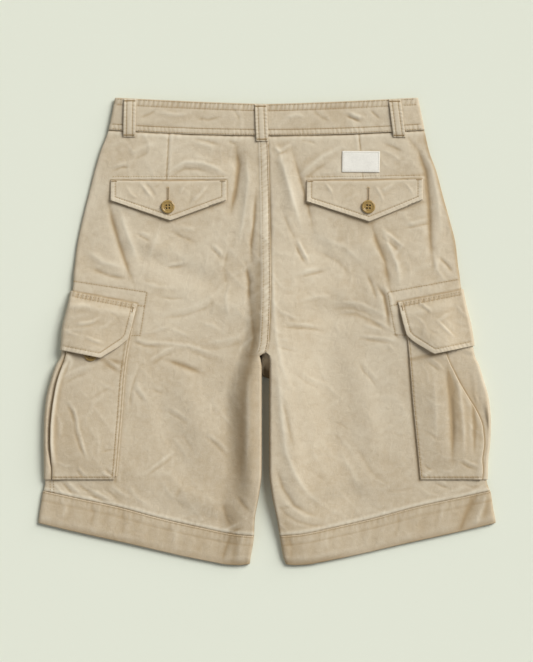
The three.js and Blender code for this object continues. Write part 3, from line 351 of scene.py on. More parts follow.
# Creases of the pieces that lie on the seat side
SEAT_FLAP_CREASES = [
    ([(141, 184), (146, 190), (152, 198)], 2.4, 0.5), ([(145, 182), (151, 189), (156, 197)], 2.4, -0.4),
    ([(179, 194), (183, 188), (188, 183)], 2.2, 0.45), ([(191, 203), (199, 195), (209, 184)], 2.6, 0.5),
    ([(194, 205), (203, 196), (210, 189)], 2.2, -0.45), ([(153, 189), (161, 184), (166, 180)], 2.2, -0.3),
    ([(127, 187), (131, 194), (138, 199)], 2.8, 0.3), ([(192, 192), (190, 200), (189, 206)], 1.8, -0.35),
    ([(325, 183), (329, 188), (332, 194)], 2.0, 0.45), ([(338, 193), (343, 188), (349, 184)], 2.0, -0.35),
    ([(381, 192), (387, 188), (393, 184)], 2.4, 0.45), ([(384, 196), (392, 191), (402, 188)], 2.4, -0.4),
    ([(375, 186), (380, 194), (383, 202)], 2.2, 0.35), ([(346, 200), (354, 196), (360, 192)], 2.4, 0.3),
    ([(404, 182), (410, 189), (414, 196)], 2.2, 0.35),
]
CARGO_FLAP_CREASES = [
    ([(76, 324), (85, 323), (93, 322), (101, 316)], 2.0, 0.6), ([(78, 328), (88, 326), (98, 322)], 2.0, -0.5),
    ([(84, 336), (93, 340), (103, 343)], 1.8, 0.7), ([(86, 339), (96, 344), (105, 347)], 2.0, -0.6),
    ([(70, 308), (82, 305), (96, 307)], 3.0, 0.5), ([(72, 316), (80, 312), (88, 312)], 2.2, -0.4),
    ([(96, 330), (106, 326), (114, 319)], 2.4, 0.4), ([(66, 330), (74, 335), (82, 336)], 2.2, 0.35),
    ([(108, 312), (116, 316), (121, 323)], 2.2, -0.35), ([(67, 342), (80, 344), (92, 349)], 2.2, -0.3),
    ([(417, 302), (423, 305), (430, 311)], 2.0, 0.6), ([(419, 307), (425, 310), (431, 315)], 2.0, -0.5),
    ([(436, 322), (443, 317), (451, 312)], 1.8, 0.6), ([(437, 321), (444, 328), (453, 337)], 2.0, 0.7),
    ([(440, 321), (447, 328), (456, 336)], 2.0, -0.6), ([(428, 330), (436, 334), (444, 341)], 2.2, -0.4),
    ([(455, 304), (461, 312), (468, 318)], 2.6, 0.35), ([(450, 322), (460, 326), (470, 327)], 2.2, -0.35),
    ([(414, 316), (422, 322), (426, 330)], 2.2, 0.35),
]
POCKET_CREASES = [
    ([(70, 402), (75, 410), (78, 420), (78, 436)], 1.9, 0.9), ([(67, 404), (72, 413), (75, 424)], 2.0, -0.7),
    ([(78, 424), (81, 436), (84, 448), (88, 459)], 1.7, 0.8), ([(75, 428), (79, 444), (84, 456)], 1.9, -0.7),
    ([(104, 357), (112, 362), (121, 369)], 2.0, 0.8), ([(103, 361), (111, 367), (118, 372)], 2.0, -0.6),
    ([(60, 379), (70, 373), (82, 368), (94, 366)], 2.6, 0.6), ([(64, 384), (76, 377), (88, 373)], 2.8, -0.5),
    ([(98, 380), (107, 386), (116, 389)], 2.6, 0.4), ([(92, 398), (102, 392), (112, 386)], 2.8, -0.35),
    ([(56, 410), (61, 424), (60, 440)], 3.2, 0.5), ([(96, 428), (100, 444), (98, 460)], 3.4, 0.4),
    ([(103, 452), (108, 450), (114, 449)], 1.6, -0.6), ([(101, 470), (106, 474), (113, 479)], 1.6, 0.8),
    ([(105, 468), (110, 473), (114, 476)], 1.4, -0.7), ([(78, 466), (82, 471), (88, 477)], 1.6, 0.7),
    ([(76, 469), (80, 474), (84, 478)], 1.6, -0.6), ([(58, 462), (66, 466), (74, 465)], 2.2, 0.4),
    ([(447, 362), (450, 392), (452, 424), (452, 460)], 6.0, -3.0),
    ([(456, 364), (460, 396), (463, 424), (464, 458)], 4.6, 1.1),
    ([(468, 368), (472, 396), (474, 424), (474, 452)], 2.6, -1.6),
    ([(433, 372), (435, 400), (436, 440)], 7.0, 0.8), ([(477, 376), (477, 388), (479, 403)], 1.8, -1.6),
    ([(60, 350), (65, 361), (58, 376)], 2.4, -1.3), ([(67, 352), (72, 362), (68, 372)], 2.6, 0.8),
    ([(427, 362), (433, 366), (439, 371)], 2.0, -0.6), ([(430, 358), (437, 363), (443, 369)], 2.0, 0.5),
    ([(421, 364), (427, 372), (428, 384)], 2.6, 0.35), ([(426, 398), (434, 404), (444, 406)], 2.8, 0.4),
    ([(424, 430), (436, 438), (446, 438)], 2.8, -0.35), ([(469, 384), (474, 396), (480, 404)], 2.4, 0.5),
    ([(463, 459), (470, 463), (478, 466)], 1.7, 0.7), ([(460, 462), (468, 467), (476, 469)], 1.7, -0.7),
    ([(424, 465), (428, 468), (432, 470)], 1.4, -0.7), ([(422, 478), (427, 473), (433, 470)], 1.5, 0.8),
    ([(440, 470), (448, 472), (454, 468)], 2.0, 0.4), ([(466, 420), (474, 430), (482, 434)], 2.4, 0.4),
    ([(461, 353), (468, 356), (477, 357)], 1.8, -0.8), ([(462, 349), (470, 352), (478, 352)], 2.0, 0.6),
]
# Bands of painted shade, and a few of painted light, on the cloth: path in picture pixels, half width in mm,
# amount
SHADE_AND_LIGHT_BANDS = [
    ([(259, 256), (257, 300), (257, 330), (253, 350)], 9.0, -0.5),
    ([(253, 342), (249, 364), (246, 384)], 9.0, -0.4),
    ([(256, 336), (250, 366), (243, 400), (242, 440), (240, 480), (236, 512)], 20.0, -0.72),
    ([(280, 258), (280, 330), (282, 400), (286, 450), (298, 482)], 8.0, 0.2),
    ([(236, 148), (237, 180), (232, 214)], 5.0, -0.4),
    ([(409, 138), (424, 170), (429, 205), (432, 264)], 5.0, -0.4),
    ([(110, 204), (120, 246), (133, 286)], 5.0, -0.35),
    ([(371, 224), (378, 245), (389, 288)], 6.0, -0.35), ([(164, 359), (184, 366), (204, 374)], 7.0, -0.3),
    ([(222, 492), (231, 514), (236, 540), (232, 564)], 13.0, -0.38),
    ([(480, 474), (468, 504), (458, 538)], 10.0, -0.2),
    ([(488, 486), (486, 506), (484, 522)], 12.0, -0.4),
    ([(284, 500), (286, 530), (288, 562)], 8.0, -0.35), ([(284, 150), (290, 180), (302, 226)], 6.0, 0.25),
    ([(70, 299), (100, 300), (136, 308)], 6.0, -0.3), ([(128, 300), (128, 350), (128, 380)], 5.0, -0.2),
    ([(340, 314), (360, 316), (386, 331)], 5.0, -0.3), ([(384, 290), (388, 310), (391, 330)], 4.0, -0.35),
    ([(286, 524), (304, 528), (330, 528)], 5.0, -0.3), ([(150, 150), (180, 150), (205, 156)], 12.0, 0.2),
    ([(330, 150), (362, 172), (402, 204)], 26.0, 0.2), ([(300, 236), (340, 250), (372, 256)], 20.0, 0.15),
]
# Painted shade on the cargo pockets: path in picture pixels, half width in mm, amount
POCKET_PAINTED_SHADE = [
    ([(446, 362), (456, 400), (464, 456)], 16.0, -0.55), ([(468, 370), (474, 400), (480, 452)], 11.0, -0.5),
    ([(486, 402), (489, 420), (490, 438), (485, 466)], 2.6, -0.9),
    ([(60, 350), (62, 362), (58, 376)], 4.0, -0.5), ([(100, 366), (112, 366), (122, 374)], 5.0, -0.3),
]
BAND_CREASES = [
    ([(346, 116), (353, 119), (360, 122)], 2.2, -0.6), ([(348, 112), (356, 116), (364, 118)], 2.4, 0.5),
    ([(370, 110), (375, 115), (380, 119)], 2.4, -0.4), ([(158, 112), (176, 115), (190, 113)], 3.0, 0.35),
    ([(196, 118), (208, 120), (220, 117)], 2.6, -0.35), ([(232, 108), (238, 116), (240, 122)], 2.6, -0.3),
    ([(285, 118), (296, 115), (306, 117)], 2.8, 0.3), ([(312, 110), (322, 118), (330, 121)], 3.0, -0.3),
    ([(140, 118), (150, 114), (156, 110)], 2.6, -0.3),
]
HEM_CREASES = [
    ([(478, 490), (466, 514), (456, 542)], 9.0, -1.8), ([(488, 490), (482, 508), (474, 528)], 5.0, 0.9),
    ([(400, 512), (398, 526), (394, 540)], 5.0, -0.6), ([(446, 498), (442, 512), (438, 528)], 4.0, 0.6),
    ([(232, 534), (226, 548), (222, 562)], 6.0, -1.2), ([(244, 530), (240, 546), (238, 562)], 5.0, 0.8),
    ([(120, 508), (124, 522), (122, 536)], 6.0, -0.5), ([(172, 520), (176, 534), (174, 548)], 6.0, 0.5),
    ([(288, 536), (292, 548), (290, 562)], 6.0, -0.8), ([(330, 528), (326, 540), (328, 552)], 6.0, 0.5),
    ([(62, 496), (66, 508), (62, 520)], 5.0, 0.5), ([(90, 504), (94, 514), (90, 526)], 5.0, -0.5),
]


# Small mathematics


def lerp(a, b, t):
    return a + (b - a) * t


def smooth(start, end, value):
    t = np.clip((value - start) / (end - start), 0, 1)
    return t * t * (3 - 2 * t)


def bell(off, wide):
    return np.exp(-((off / wide) ** 2))


def curve(rows, key, column):
    """A smooth curve through a table's rows that never overshoots them, held level past its ends."""
    at, value = rows[key], rows[column]
    slope = np.diff(value) / np.diff(at)
    before, after = np.r_[slope[0], slope], np.r_[slope, slope[-1]]
    both = np.where(before * after > 0, before + after, 1)
    tangent = np.where(before * after > 0, 2 * before * after / both, 0)

    def read(wanted):
        v = np.clip(wanted, at[0], at[-1])
        i = np.clip(np.searchsorted(at, v) - 1, 0, len(slope) - 1)
        span = at[i + 1] - at[i]
        t = (v - at[i]) / span
        t2, t3 = t * t, t * t * t
        return (
            (2 * t3 - 3 * t2 + 1) * value[i] + (t3 - 2 * t2 + t) * span * tangent[i]
            + (3 * t2 - 2 * t3) * value[i + 1] + (t3 - t2) * span * tangent[i + 1]
        )

    return read


silhouette = {side: curve(SILHOUETTE, "y", side) for side in SIGN}
inner_line = {side: curve(INNER_EDGE, "y", side) for side in SIGN}
inner_hill = curve(INNER_HILL, "y", "high")
ridge_line = {side: curve(RIDGE_LINE, "y", side) for side in SIGN}
hem_seam = curve(HEM_SEAM, "x", "y")
hem_edge = curve(HEM_EDGE, "x", "y")
pocket_inner = {side: curve(POCKET_LINES, "y", f"{side}_inner") for side in SIGN}
pocket_pleat = {side: curve(POCKET_LINES, "y", f"{side}_pleat") for side in SIGN}
flap_inset = curve(FLAP_EDGE, "down", "inset")


def waist_top(x):
    return WAIST["top"] + WAIST["top_rise"] * (np.abs(x) / WAIST["half"]) ** WAIST["top_power"]


def waist_seam(x):
    return WAIST["seam"] + WAIST["seam_rise"] * (x / WAIST["half"]) ** 2


def front_dip(x):
    return FRONT_DIP * (1 - smooth(0, WAIST["half"], np.abs(x)))


def reach(x, y):
    """Distance in from the garment's side."""
    side = np.where(x < 0, -silhouette["left"](y), silhouette["right"](y))
    return side - np.abs(x)


def leg_inset(y):
    in_pocket = smooth(-217, -203, y) * (1 - smooth(POCKET_TOP_Y, POCKET_TOP_Y + 16, y))
    in_flap = smooth(-54, -37, y) * (1 - smooth(58, 82, y))
    return 1.7 * in_pocket + 2.4 * in_flap


def outer_edge(side, y):
    return silhouette[side](y) - SIGN[side] * leg_inset(y)


def inner_edge(side, y):
    return inner_line[side](y) + SIGN[side] * HALF_SEAM


def front_inner_edge(side, y):
    centre = inner_line["left"](np.maximum(y, BACK_CROTCH_Y))
    joined = smooth(FRONT_CROTCH_Y - 1.8, FRONT_CROTCH_Y, y)
    return lerp(inner_line[side](y), centre, joined) + SIGN[side] * HALF_SEAM


def under_flap(x, y):
    across = 1 - smooth(REACH_UNDER + 8, REACH_UNDER + 30, reach(x, y))
    return across * smooth(-56, -39, y) * (1 - smooth(61, 86, y))


def rise(x, y):
    """Height of the front's underside above the surface."""
    across = 1 - smooth(REACH_UNDER + 5, REACH_UNDER + 26, reach(x, y))
    pocket = across * smooth(-214, -201, y) * (1 - smooth(POCKET_TOP_Y + 4, POCKET_TOP_Y + 20, y))
    return UNDER["pocket"] * pocket + UNDER["flap"] * under_flap(x, y) + UNDER["waist"] * smooth(205, 240, y)


def loft(x, y):
    upper = lerp(LOFT["leg"], LOFT["seat"], smooth(20, 150, y))
    upper = lerp(upper, LOFT["waist"], smooth(215, 262, y))
    return lerp(upper, LOFT["hem"], smooth(60, 0, y - hem_seam(np.abs(x))))


def hill_flank(side, x, y):
    start_seat, end_seat, start_leg, end_leg = HILL_FLANK[side]
    on_leg = smooth(-18, -95, y)
    start = lerp(start_seat, start_leg, on_leg)
    wide = lerp(end_seat - start_seat, end_leg - start_leg, on_leg)
    return 1 - smooth(0, 1, (np.abs(x - ridge_line[side](y)) - start) / wide)


def top_height(x, y):
    """Height of the seat side's upper surface with its large folds."""
    inner = np.where(x < 0, inner_line["left"](y), inner_line["right"](y))
    from_inner, from_side = np.abs(x - inner), reach(x, y)
    in_leg = smooth(BACK_CROTCH_Y, BACK_CROTCH_Y - 60, y)
    zones = (
        TOP["pocket"] * (1 - smooth(100, 190, from_side)) * (1 - smooth(30, 120, y))
        + TOP["flap"] * (1 - smooth(100, 170, from_side)) * smooth(-110, -40, y) * (1 - smooth(55, 125, y))
        + TOP["waist"] * smooth(195, 262, y)
    )
    drops = (
        TOP["inner_drop"] * in_leg * (1 - smooth(0, 45, from_inner))
        + TOP["outer_drop"] * (1 - smooth(0, 30, from_side)) * smooth(70, 110, y)
    )
    plain = np.ones_like(x * y)
    for px, py, half_x, half_y in SMOOTH_PLACES:
        off_x, off_y = np.abs(x - px) - half_x, np.abs(y - py) - half_y
        plain = plain * (1 - (1 - smooth(0, SMOOTH_MARGIN, off_x)) * (1 - smooth(0, SMOOTH_MARGIN, off_y)))
    folds = np.zeros_like(x * y)
    for x1, y1, x2, y2, width, height in FOLDS:
        dx, dy = x2 - x1, y2 - y1
        t = ((x - x1) * dx + (y - y1) * dy) / (dx * dx + dy * dy)
        off = np.abs((x - x1) * dy - (y - y1) * dx) / math.hypot(dx, dy)
        folds = folds + height * smooth(-0.15, 0.2, t) * (1 - smooth(0.8, 1.15, t)) * bell(off, width)
    near_edges = smooth(262, 225, y) * smooth(0, 30, y - hem_seam(np.abs(x)))
    ridge = (ridge_line["left"](y) + ridge_line["right"](y)) / 2
    zones = zones + inner_hill(y) * np.where(x < ridge, hill_flank("left", x, y), hill_flank("right", x, y))
    puffed = loft(x, y) * lerp(0.7, 1, smooth(0, 55, from_side))
    return TOP["plain"] + puffed + zones - drops + FOLD_GAIN * folds * plain * near_edges


def band_rest(x, y):
    """Height of the waistband's upper surface without its relief."""
    return top_height(x, np.minimum(y, BAND_LEVEL_Y)) + BAND_STEP


def roll(distance, width=ROLL):
    """Share of the full height at a distance in from a rounded edge."""
    return np.sqrt(np.clip(1 - (1 - np.clip(distance / width, 0, 1)) ** 2, 0, 1))


# Fine relief of the cloth: creases placed one by one, puckers along seams, and a soft unevenness


def at_pixel(px, py):
    return (px - PICTURE_ORIGIN[0]) * PIXEL, (PICTURE_ORIGIN[1] - py) * PIXEL


def lattice_noise(x, y, size, seed, stretch=1.0, angle=0.0):
    """Smooth noise from -1 to 1 with features of a size, drawn out along an angle."""
    c, s = math.cos(angle), math.sin(angle)
    u, v = (x * c + y * s) / (size * stretch), (-x * s + y * c) / size
    values = np.random.default_rng(seed).uniform(-1, 1, (97, 97))
    iu, iv = np.floor(u).astype(int), np.floor(v).astype(int)
    fu, fv = u - iu, v - iv
    fu, fv = fu * fu * fu * (fu * (6 * fu - 15) + 10), fv * fv * fv * (fv * (6 * fv - 15) + 10)
    a, b = values[iu % 97, iv % 97], values[(iu + 1) % 97, iv % 97]
    c2, d = values[iu % 97, (iv + 1) % 97], values[(iu + 1) % 97, (iv + 1) % 97]
    return lerp(lerp(a, b, fu), lerp(c2, d, fu), fv)


def along_path(path, x, y):
    """Distance to a path, with its sign, and how far along the path the nearest point lies, in mm."""
    x, y = np.broadcast_arrays(x, y)
    best = np.full(np.shape(x), 1e9)
    signed, along = np.zeros_like(best), np.zeros_like(best)
    start = 0.0
    for (x1, y1), (x2, y2) in zip(path[:-1], path[1:]):
        dx, dy = x2 - x1, y2 - y1
        length = math.hypot(dx, dy)
        t = np.clip(((x - x1) * dx + (y - y1) * dy) / length**2, 0, 1)
        ox, oy = x - (x1 + t * dx), y - (y1 + t * dy)
        distance = np.hypot(ox, oy)
        closer = distance < best
        best = np.where(closer, distance, best)
        signed = np.where(closer, distance * np.sign(dx * oy - dy * ox), signed)
        along = np.where(closer, start + t * length, along)
        start += length
    return signed, along, start


def crease(x, y, pixels, width, height):
    """A soft ridge along a path, or a trough where the height is negative, that fades out at both ends."""
    path = [at_pixel(*p) for p in pixels]
    xs, ys = [p[0] for p in path], [p[1] for p in path]
    out = np.zeros_like(x)
    margin = 3.2 * width
    near = (x > min(xs) - margin) & (x < max(xs) + margin) & (y > min(ys) - margin) & (y < max(ys) + margin)
    if near.any():
        off, along, length = along_path(path, x[near], y[near])
        ends = smooth(0, 0.3 * length, along) * smooth(0, 0.3 * length, length - along)
        away = np.abs(off) / width
        profile = 0.5 * np.exp(-(away**2)) + 0.5 * np.exp(-2.2 * away)
        out[near] = height * (0.25 + 0.75 * ends) * profile * smooth(3.2, 1.6, away)
    return out

def soft_floor(relief, floor):
    """Keeps a relief above a floor, softly."""
    return floor + 0.12 * np.log1p(np.exp(np.clip((relief - floor) / 0.12, -30, 30)))


def creased(rows, x, y):
    x, y = np.broadcast_arrays(x, y)
    return sum(crease(x, y, *row) for row in rows)


def unevenness(x, y, seed=1):
    """Soft waves of washed cotton, which run mostly on the slant."""
    out = 0
    for height, size, step, stretch, angle in WAVES:
        out = out + height * lattice_noise(x, y, size, seed + step, stretch, angle)
    return out


def crumple(x, y, seed=201):
    """Small sharp creases of washed cotton, where they happen to gather."""
    out = np.zeros(np.broadcast(x, y).shape)
    for size, height, turn in CRUMPLES:
        seed += 7
        bend = 0.35 * size * lattice_noise(x, y, 1.7 * size, seed + 1)
        ridge = 1 - np.abs(lattice_noise(x + bend, y - bend, size, seed, 2.1, turn))
        gathered = smooth(-0.25, 0.75, lattice_noise(x, y, 2.6 * size, seed + 2))
        out = out + height * gathered * (ridge**4 - 0.25)
    return CRUMPLE_GAIN * out


def pucker(off, along, pitch, wide, height, lean=0.3, seed=5):
    """Small ripples across a row of stitches, uneven in pitch and height."""
    wander = lattice_noise(along, 0 * along, 2.6 * pitch, seed)
    strength = 0.65 + 0.35 * lattice_noise(along, 0 * along, 1.7 * pitch, seed + 1)
    phase = 2 * math.pi * (along + lean * off) / pitch + 1.7 * wander
    return height * strength * np.sin(phase) * bell(off, wide)


def groove(off, at, wide, depth):
    return -depth * bell(off - at, wide)


# Where the seat side is covered: 1 under a piece, with a soft margin


def seat_flap_place(side, x, y):
    """How far down a seat flap a point lies, as a share of its depth, and how far along."""
    f = SEAT_FLAP[side]
    along = (x - f["x1"]) / (f["x2"] - f["x1"])
    point = np.where(along < f["at"], along / f["at"], (1 - along) / (1 - f["at"]))
    depth = lerp(f["side"], f["point"], np.clip(point, 0, 1))
    return (lerp(f["y1"], f["y2"], along) - y) / depth, along, depth


def seat_flap_cover(side, x, y):
    down, along, depth = seat_flap_place(side, x, y)
    width = SEAT_FLAP[side]["x2"] - SEAT_FLAP[side]["x1"]
    inside = np.minimum(np.minimum(down * depth, (1 - down) * depth), np.minimum(along, 1 - along) * width)
    return smooth(-3.5, 1.0, inside)


def cargo_cover(side, x, y):
    sign, flap = SIGN[side], CARGO_FLAP[side]
    along = (x - flap["x"]) * sign
    pocket = np.minimum((x - pocket_inner[side](y)) * sign + 6, y - POCKET_BOTTOM_Y)
    top = flap["y"] + flap["slope"] * along
    flap_part = np.minimum(np.minimum(along - flap_inset(top - y), top - y), y + 42)
    return smooth(-4, 1.5, np.maximum(np.minimum(pocket, 30 - y), flap_part))


def label_cover(x, y):
    half_x, half_y = LABEL_AT["wide"] / 2, LABEL_AT["high"] / 2
    return smooth(-4, 0.5, np.minimum(half_x - np.abs(x - LABEL_AT["x"]), half_y - np.abs(y - LABEL_AT["y"])))


def loop_cover(x, y):
    cover = np.zeros_like(x * y)
    for _, x_low, _ in BELT_LOOPS.values():
        from_end = y - (waist_seam(x_low) - LOOP_PAST_SEAM - 1)
        inside = np.minimum(LOOP_WIDE / 2 + 1 - np.abs(x - x_low), from_end)
        cover = np.maximum(cover, smooth(-2.5, 0.5, inside))
    return cover


# Upper surfaces of the seat side and of what lies on it


def above_flap(side, x, y):
    """Distance above a seat flap's sewn edge, and in from the nearer end of it."""
    f = SEAT_FLAP[side]
    above = y - lerp(f["y1"], f["y2"], (x - f["x1"]) / (f["x2"] - f["x1"]))
    return above, np.minimum(x - f["x1"], f["x2"] - x)


def past_ditch(x, y):
    """Distance to the right of the felled seam's ditch, and 1 where the seam runs."""
    return x - inner_line["left"](y), smooth(BACK_CROTCH_Y - 4, BACK_CROTCH_Y + 6, y)


def seat_surface(x, y):
    """Upper surface of the seat side's panels, with creases, seams and puckers."""
    open_cloth = 1 - label_cover(x, y)
    for side in SIGN:
        open_cloth = open_cloth * (1 - seat_flap_cover(side, x, y)) * (1 - cargo_cover(side, x, y))
    open_cloth = open_cloth * (1 - loop_cover(x, y))
    calm = lerp(1, np.where(x < 0, 0.72, 0.48), smooth(80, -60, y))
    forms = [row for row in CREASES if row[1] >= BOLD]
    small = [row for row in CREASES if row[1] < BOLD]
    z = CREASE_GAIN * creased(small, x, y) + WAVE_GAIN * unevenness(x, y) + crumple(x, y)
    z = z * calm + CREASE_GAIN * creased(forms, x, y)

    # puckers along the waist seam and the hem seam
    below_band, above_hem = waist_seam(x) - y, y - hem_seam(np.abs(x))
    z = z + pucker(below_band, x, 9.0, 7.0, 0.16, 0.5, 40) + groove(below_band, 0.4, 2.2, 0.5)
    z = z + pucker(above_hem, x, 8.0, 7.0, 0.2, -0.4, 50) + 0.35 * bell(above_hem - 3.0, 2.6)

    # darts, and the welt above each seat flap
    for side, dart in DARTS.items():
        off, along, _ = along_path(dart, x, y)
        z = z + groove(off, 0, 1.2, 0.6) + 0.25 * bell(off * SIGN[side] + 3.6, 2.8)
        z = z + pucker(off, along, 8.0, 6.0, 0.12, 0.6, 60)
        above, from_end = above_flap(side, x, y)
        welt = 0.55 * bell(above - 2.4, 2.2) + groove(above, 4.6, 1.1, 0.3)
        z = z + smooth(-6, 2, from_end) * (welt + pucker(above - 4, x, 7.0, 5.0, 0.14, 0.4, 70))
        for path in PATCH_STITCH[side]:
            off, along, _ = along_path(path, x, y)
            z = z + groove(off, 0, 1.4, 0.3) + pucker(off, along, 6.5, 4.0, 0.13, 0.5, 80)

    # the ditch beside the felled seam, then the felled strip, on the left panel, with its two rows
    from_ditch, in_seat = past_ditch(x, y)
    z = z + in_seat * np.where(from_ditch > 0, groove(from_ditch, 0, 2.4, 0.25), 0)
    strip = -from_ditch
    on_strip = in_seat * smooth(FELL["wide"] + 2.0, FELL["wide"] - 0.5, strip) * (from_ditch <= 0)
    rows = sum(groove(strip, at, 0.9, 0.45) for at in FELL["rows"])
    ripple = pucker(strip - 6, y, 7.2, 7.0, 0.36, 0.7, 90)
    return top_height(x, y) + z * open_cloth + on_strip * (FELL["high"] + rows + ripple)


def band_surface(x, y):
    """Upper surface of the waistband."""
    z = band_rest(x, y)
    from_top, from_seam = waist_top(x) - y, y - waist_seam(x)
    z = z + 2.2 * creased(BAND_CREASES, x, y) + 1.5 * unevenness(x, y, 3) + 0.7 * crumple(x, y, 301)
    z = z + groove(from_top, 9.0, 1.1, 0.42) + pucker(from_top - 4.5, x, 6.2, 4.4, 0.44, 0.25, 21)
    z = z + groove(from_seam, 8.2, 1.0, 0.4) + pucker(from_seam - 4.6, x, 5.6, 3.6, 0.38, 0.2, 22)
    z = z + groove(from_seam, 1.9, 0.8, 0.25)
    return z - 0.35 * smooth(1.6, 0, from_top) - 0.2 * smooth(1.4, 0, from_seam)


def hem_surface(x, y):
    """Upper surface of a leg's turned-up hem."""
    below, from_edge = hem_seam(np.abs(x)) - y, y - hem_edge(np.abs(x))
    relief = 0.7 * unevenness(x, y, 4) + 0.4 * crumple(x, y, 401) + creased(HEM_CREASES, x, y)
    rows = groove(below, HEM_ROW, 0.9, 0.3) + groove(below, HEM_FOLD, 1.2, 0.22)
    ripples = pucker(below - 5, x, 7.0, 5.0, 0.17, 0.1, 31)
    ripples = ripples + 0.35 * pucker(below - 22, x, 21.0, 20.0, 0.5, 0.15, 32)
    z = top_height(x, y) + 0.5 + relief + rows + 0.25 * smooth(1.0, 0, below) + ripples
    return lerp(HEM_CLOSED, z, smooth(-2, 11, from_edge) ** 0.8)


def edge_band(off, along, seed):
    """Relief beside a turned and topstitched edge, by the distance in from it."""
    inside = np.abs(off)
    puff = 0.12 * np.sin(math.pi * np.clip(inside / FLAP_STITCH_IN, 0, 1)) ** 0.7
    row = groove(inside, FLAP_STITCH_IN, 1.0, 0.45)
    return puff + row + pucker(inside - 3.2, along, 5.4, 3.6, 0.26, 0.4, seed)


def seat_flap_outline(side):
    f = SEAT_FLAP[side]
    return [
        (f["x1"], f["y1"]), (f["x1"], f["y1"] - f["side"]),
        (lerp(f["x1"], f["x2"], f["at"]), lerp(f["y1"], f["y2"], f["at"]) - f["point"]),
        (f["x2"], f["y2"] - f["side"]), (f["x2"], f["y2"]),
    ]


def seat_flap_surface(side, x, y):
    down, _, _ = seat_flap_place(side, x, y)
    off, round_it, _ = along_path(seat_flap_outline(side), x, y)
    z = top_height(x, y) + LAID_GAP + FLAP + FLAP_LIFT["seat"] * np.clip(down, 0, 1) ** 2
    z = z - 1.1 * smooth(0.06, 0, down)
    relief = 1.9 * creased(SEAT_FLAP_CREASES, x, y) + 1.0 * unevenness(x, y, 6) + 0.7 * crumple(x, y, 501)
    z = z + soft_floor(relief, -0.28) + edge_band(off, round_it, 101)
    hole_x, hole_y = BUTTON_AT[f"seat_button_{side}"]
    return z - 0.25 * bell(np.hypot((x - hole_x) / 9, (y - hole_y - 8) / 16), 1)


# Cargo pockets and flaps


def bulge(side, y):
    return BULGE[side] * smooth(-40, -90, y) * smooth(-195, -150, y)


def face_lift(side, share, y):
    swell = bulge(side, y) * np.sin(math.pi * np.clip(share, 0, 1))
    return lerp(FACE_START, FACE_END, smooth(0, 1, share)) + swell


def pleat_gap(side, y):
    """How far a pleat gapes, in mm."""
    top, full, still, end, wide = PLEAT_OPENS[side]
    return wide * smooth(top, full, y) * smooth(end, still, y)


def pleat_edge(side, y):
    return pocket_pleat[side](y) - SIGN[side] * (LAYER_STEP / 2 + pleat_gap(side, y))


def pocket_relief(side, x, y):
    sign = SIGN[side]
    from_inner = (x - pocket_inner[side](y)) * sign
    from_pleat = (pocket_pleat[side](y) - x) * sign
    from_bottom = y - POCKET_BOTTOM_Y
    seed = 111 if side == "left" else 121
    z = 0.95 * (creased(POCKET_CREASES, x, y) + 0.7 * unevenness(x, y, 8)) + 0.7 * crumple(x, y, 701)
    z = z + groove(from_inner, STITCH_IN[side], 1.0, 0.4) + groove(from_bottom, LOW_ROW_UP, 1.1, 0.5)
    z = z + pucker(from_inner - 2, y, 7.0, 4.0, 0.22, 0.5, seed)
    z = z + pucker(from_bottom - 2, x, 7.0, 4.5, 0.22, 0.4, seed + 1)
    edge_rise = 0.5 if side == "right" else pleat_gap(side, y)
    z = z + edge_rise * bell(from_pleat - 3, 4) - 0.5 * smooth(2.5, 0, from_bottom)
    return z * smooth(-2, 2, from_inner)


def cargo_frame(side):
    flap, sign = CARGO_FLAP[side], SIGN[side]
    length = math.hypot(1, flap["slope"])
    out = np.array([sign / length, flap["slope"] / length])
    down = np.array([sign * flap["slope"] / length, -1 / length])
    return np.array([flap["x"], flap["y"]]), out, down


def cargo_place(side, along, depth):
    start, out, down = cargo_frame(side)
    return start[0] + out[0] * along + down[0] * depth, start[1] + out[1] * along + down[1] * depth


def below_flap(side, x, y):
    """Distance below a cargo flap's sewn edge."""
    start, _, down = cargo_frame(side)
    return (x - start[0]) * down[0] + (y - start[1]) * down[1]


def cargo_outline(side):
    """A cargo flap's inner, slanted and lower edges, in plan."""
    depth = CARGO_FLAP[side]["depth"]
    corners = [(flap_inset(down), down * depth / FLAP_EDGE_DEPTH) for down in FLAP_EDGE["down"]]
    corners.append((FLAP_EDGE_REACH, depth))
    return [tuple(float(v) for v in cargo_place(side, *corner)) for corner in corners]


def pocket_cover(side, x, y):
    """Height of a pocket's upper surface under a flap, smooth."""
    inner, pleat = pocket_inner[side](y), pocket_pleat[side](y)
    share = np.clip((x - inner) / (pleat - inner), 0, 1)
    past = np.abs(x) - np.abs(pleat)
    lift = lerp(face_lift(side, share, y), LAID_GAP + POCKET / 2, smooth(2, 24, past))
    return top_height(x, y) + lift + POCKET / 2


def cargo_flap_surface(side, x, y):
    depth = below_flap(side, x, y)
    button_x, button_y = BUTTON_AT[f"cargo_button_{side}"]
    bump = 3.3 * bell(np.hypot(x - button_x, y - button_y), 26)
    z = lerp(top_height(x, y), pocket_cover(side, x, y) + bump, smooth(2, 20, depth)) + LAID_GAP + FLAP
    lift = FLAP_LIFT["cargo"] * np.clip(depth / FLAP_EDGE_DEPTH, 0, 1) ** 2
    z = z + lift * lerp(0.3, 1, smooth(0, 30, reach(x, y)))
    off, along, _ = along_path(cargo_outline(side), x, y)
    relief = 1.5 * creased(CARGO_FLAP_CREASES, x, y) + 1.1 * unevenness(x, y, 9) + crumple(x, y, 601)
    z = z + soft_floor(relief, -0.3) + edge_band(off, along, 131)
    rows = sum(groove(depth, at, 0.8, 0.4) for at in FLAP_ROWS)
    return z + rows + pucker(depth - 5, x, 6.0, 4.0, 0.5, 0.3, 141) - 0.9 * smooth(2.2, 0, depth)


# Meshes


def grid(x, y, z):
    """Points from coordinates that fit each other, as a grid."""
    return np.stack(np.broadcast_arrays(x, y, z), axis=2)


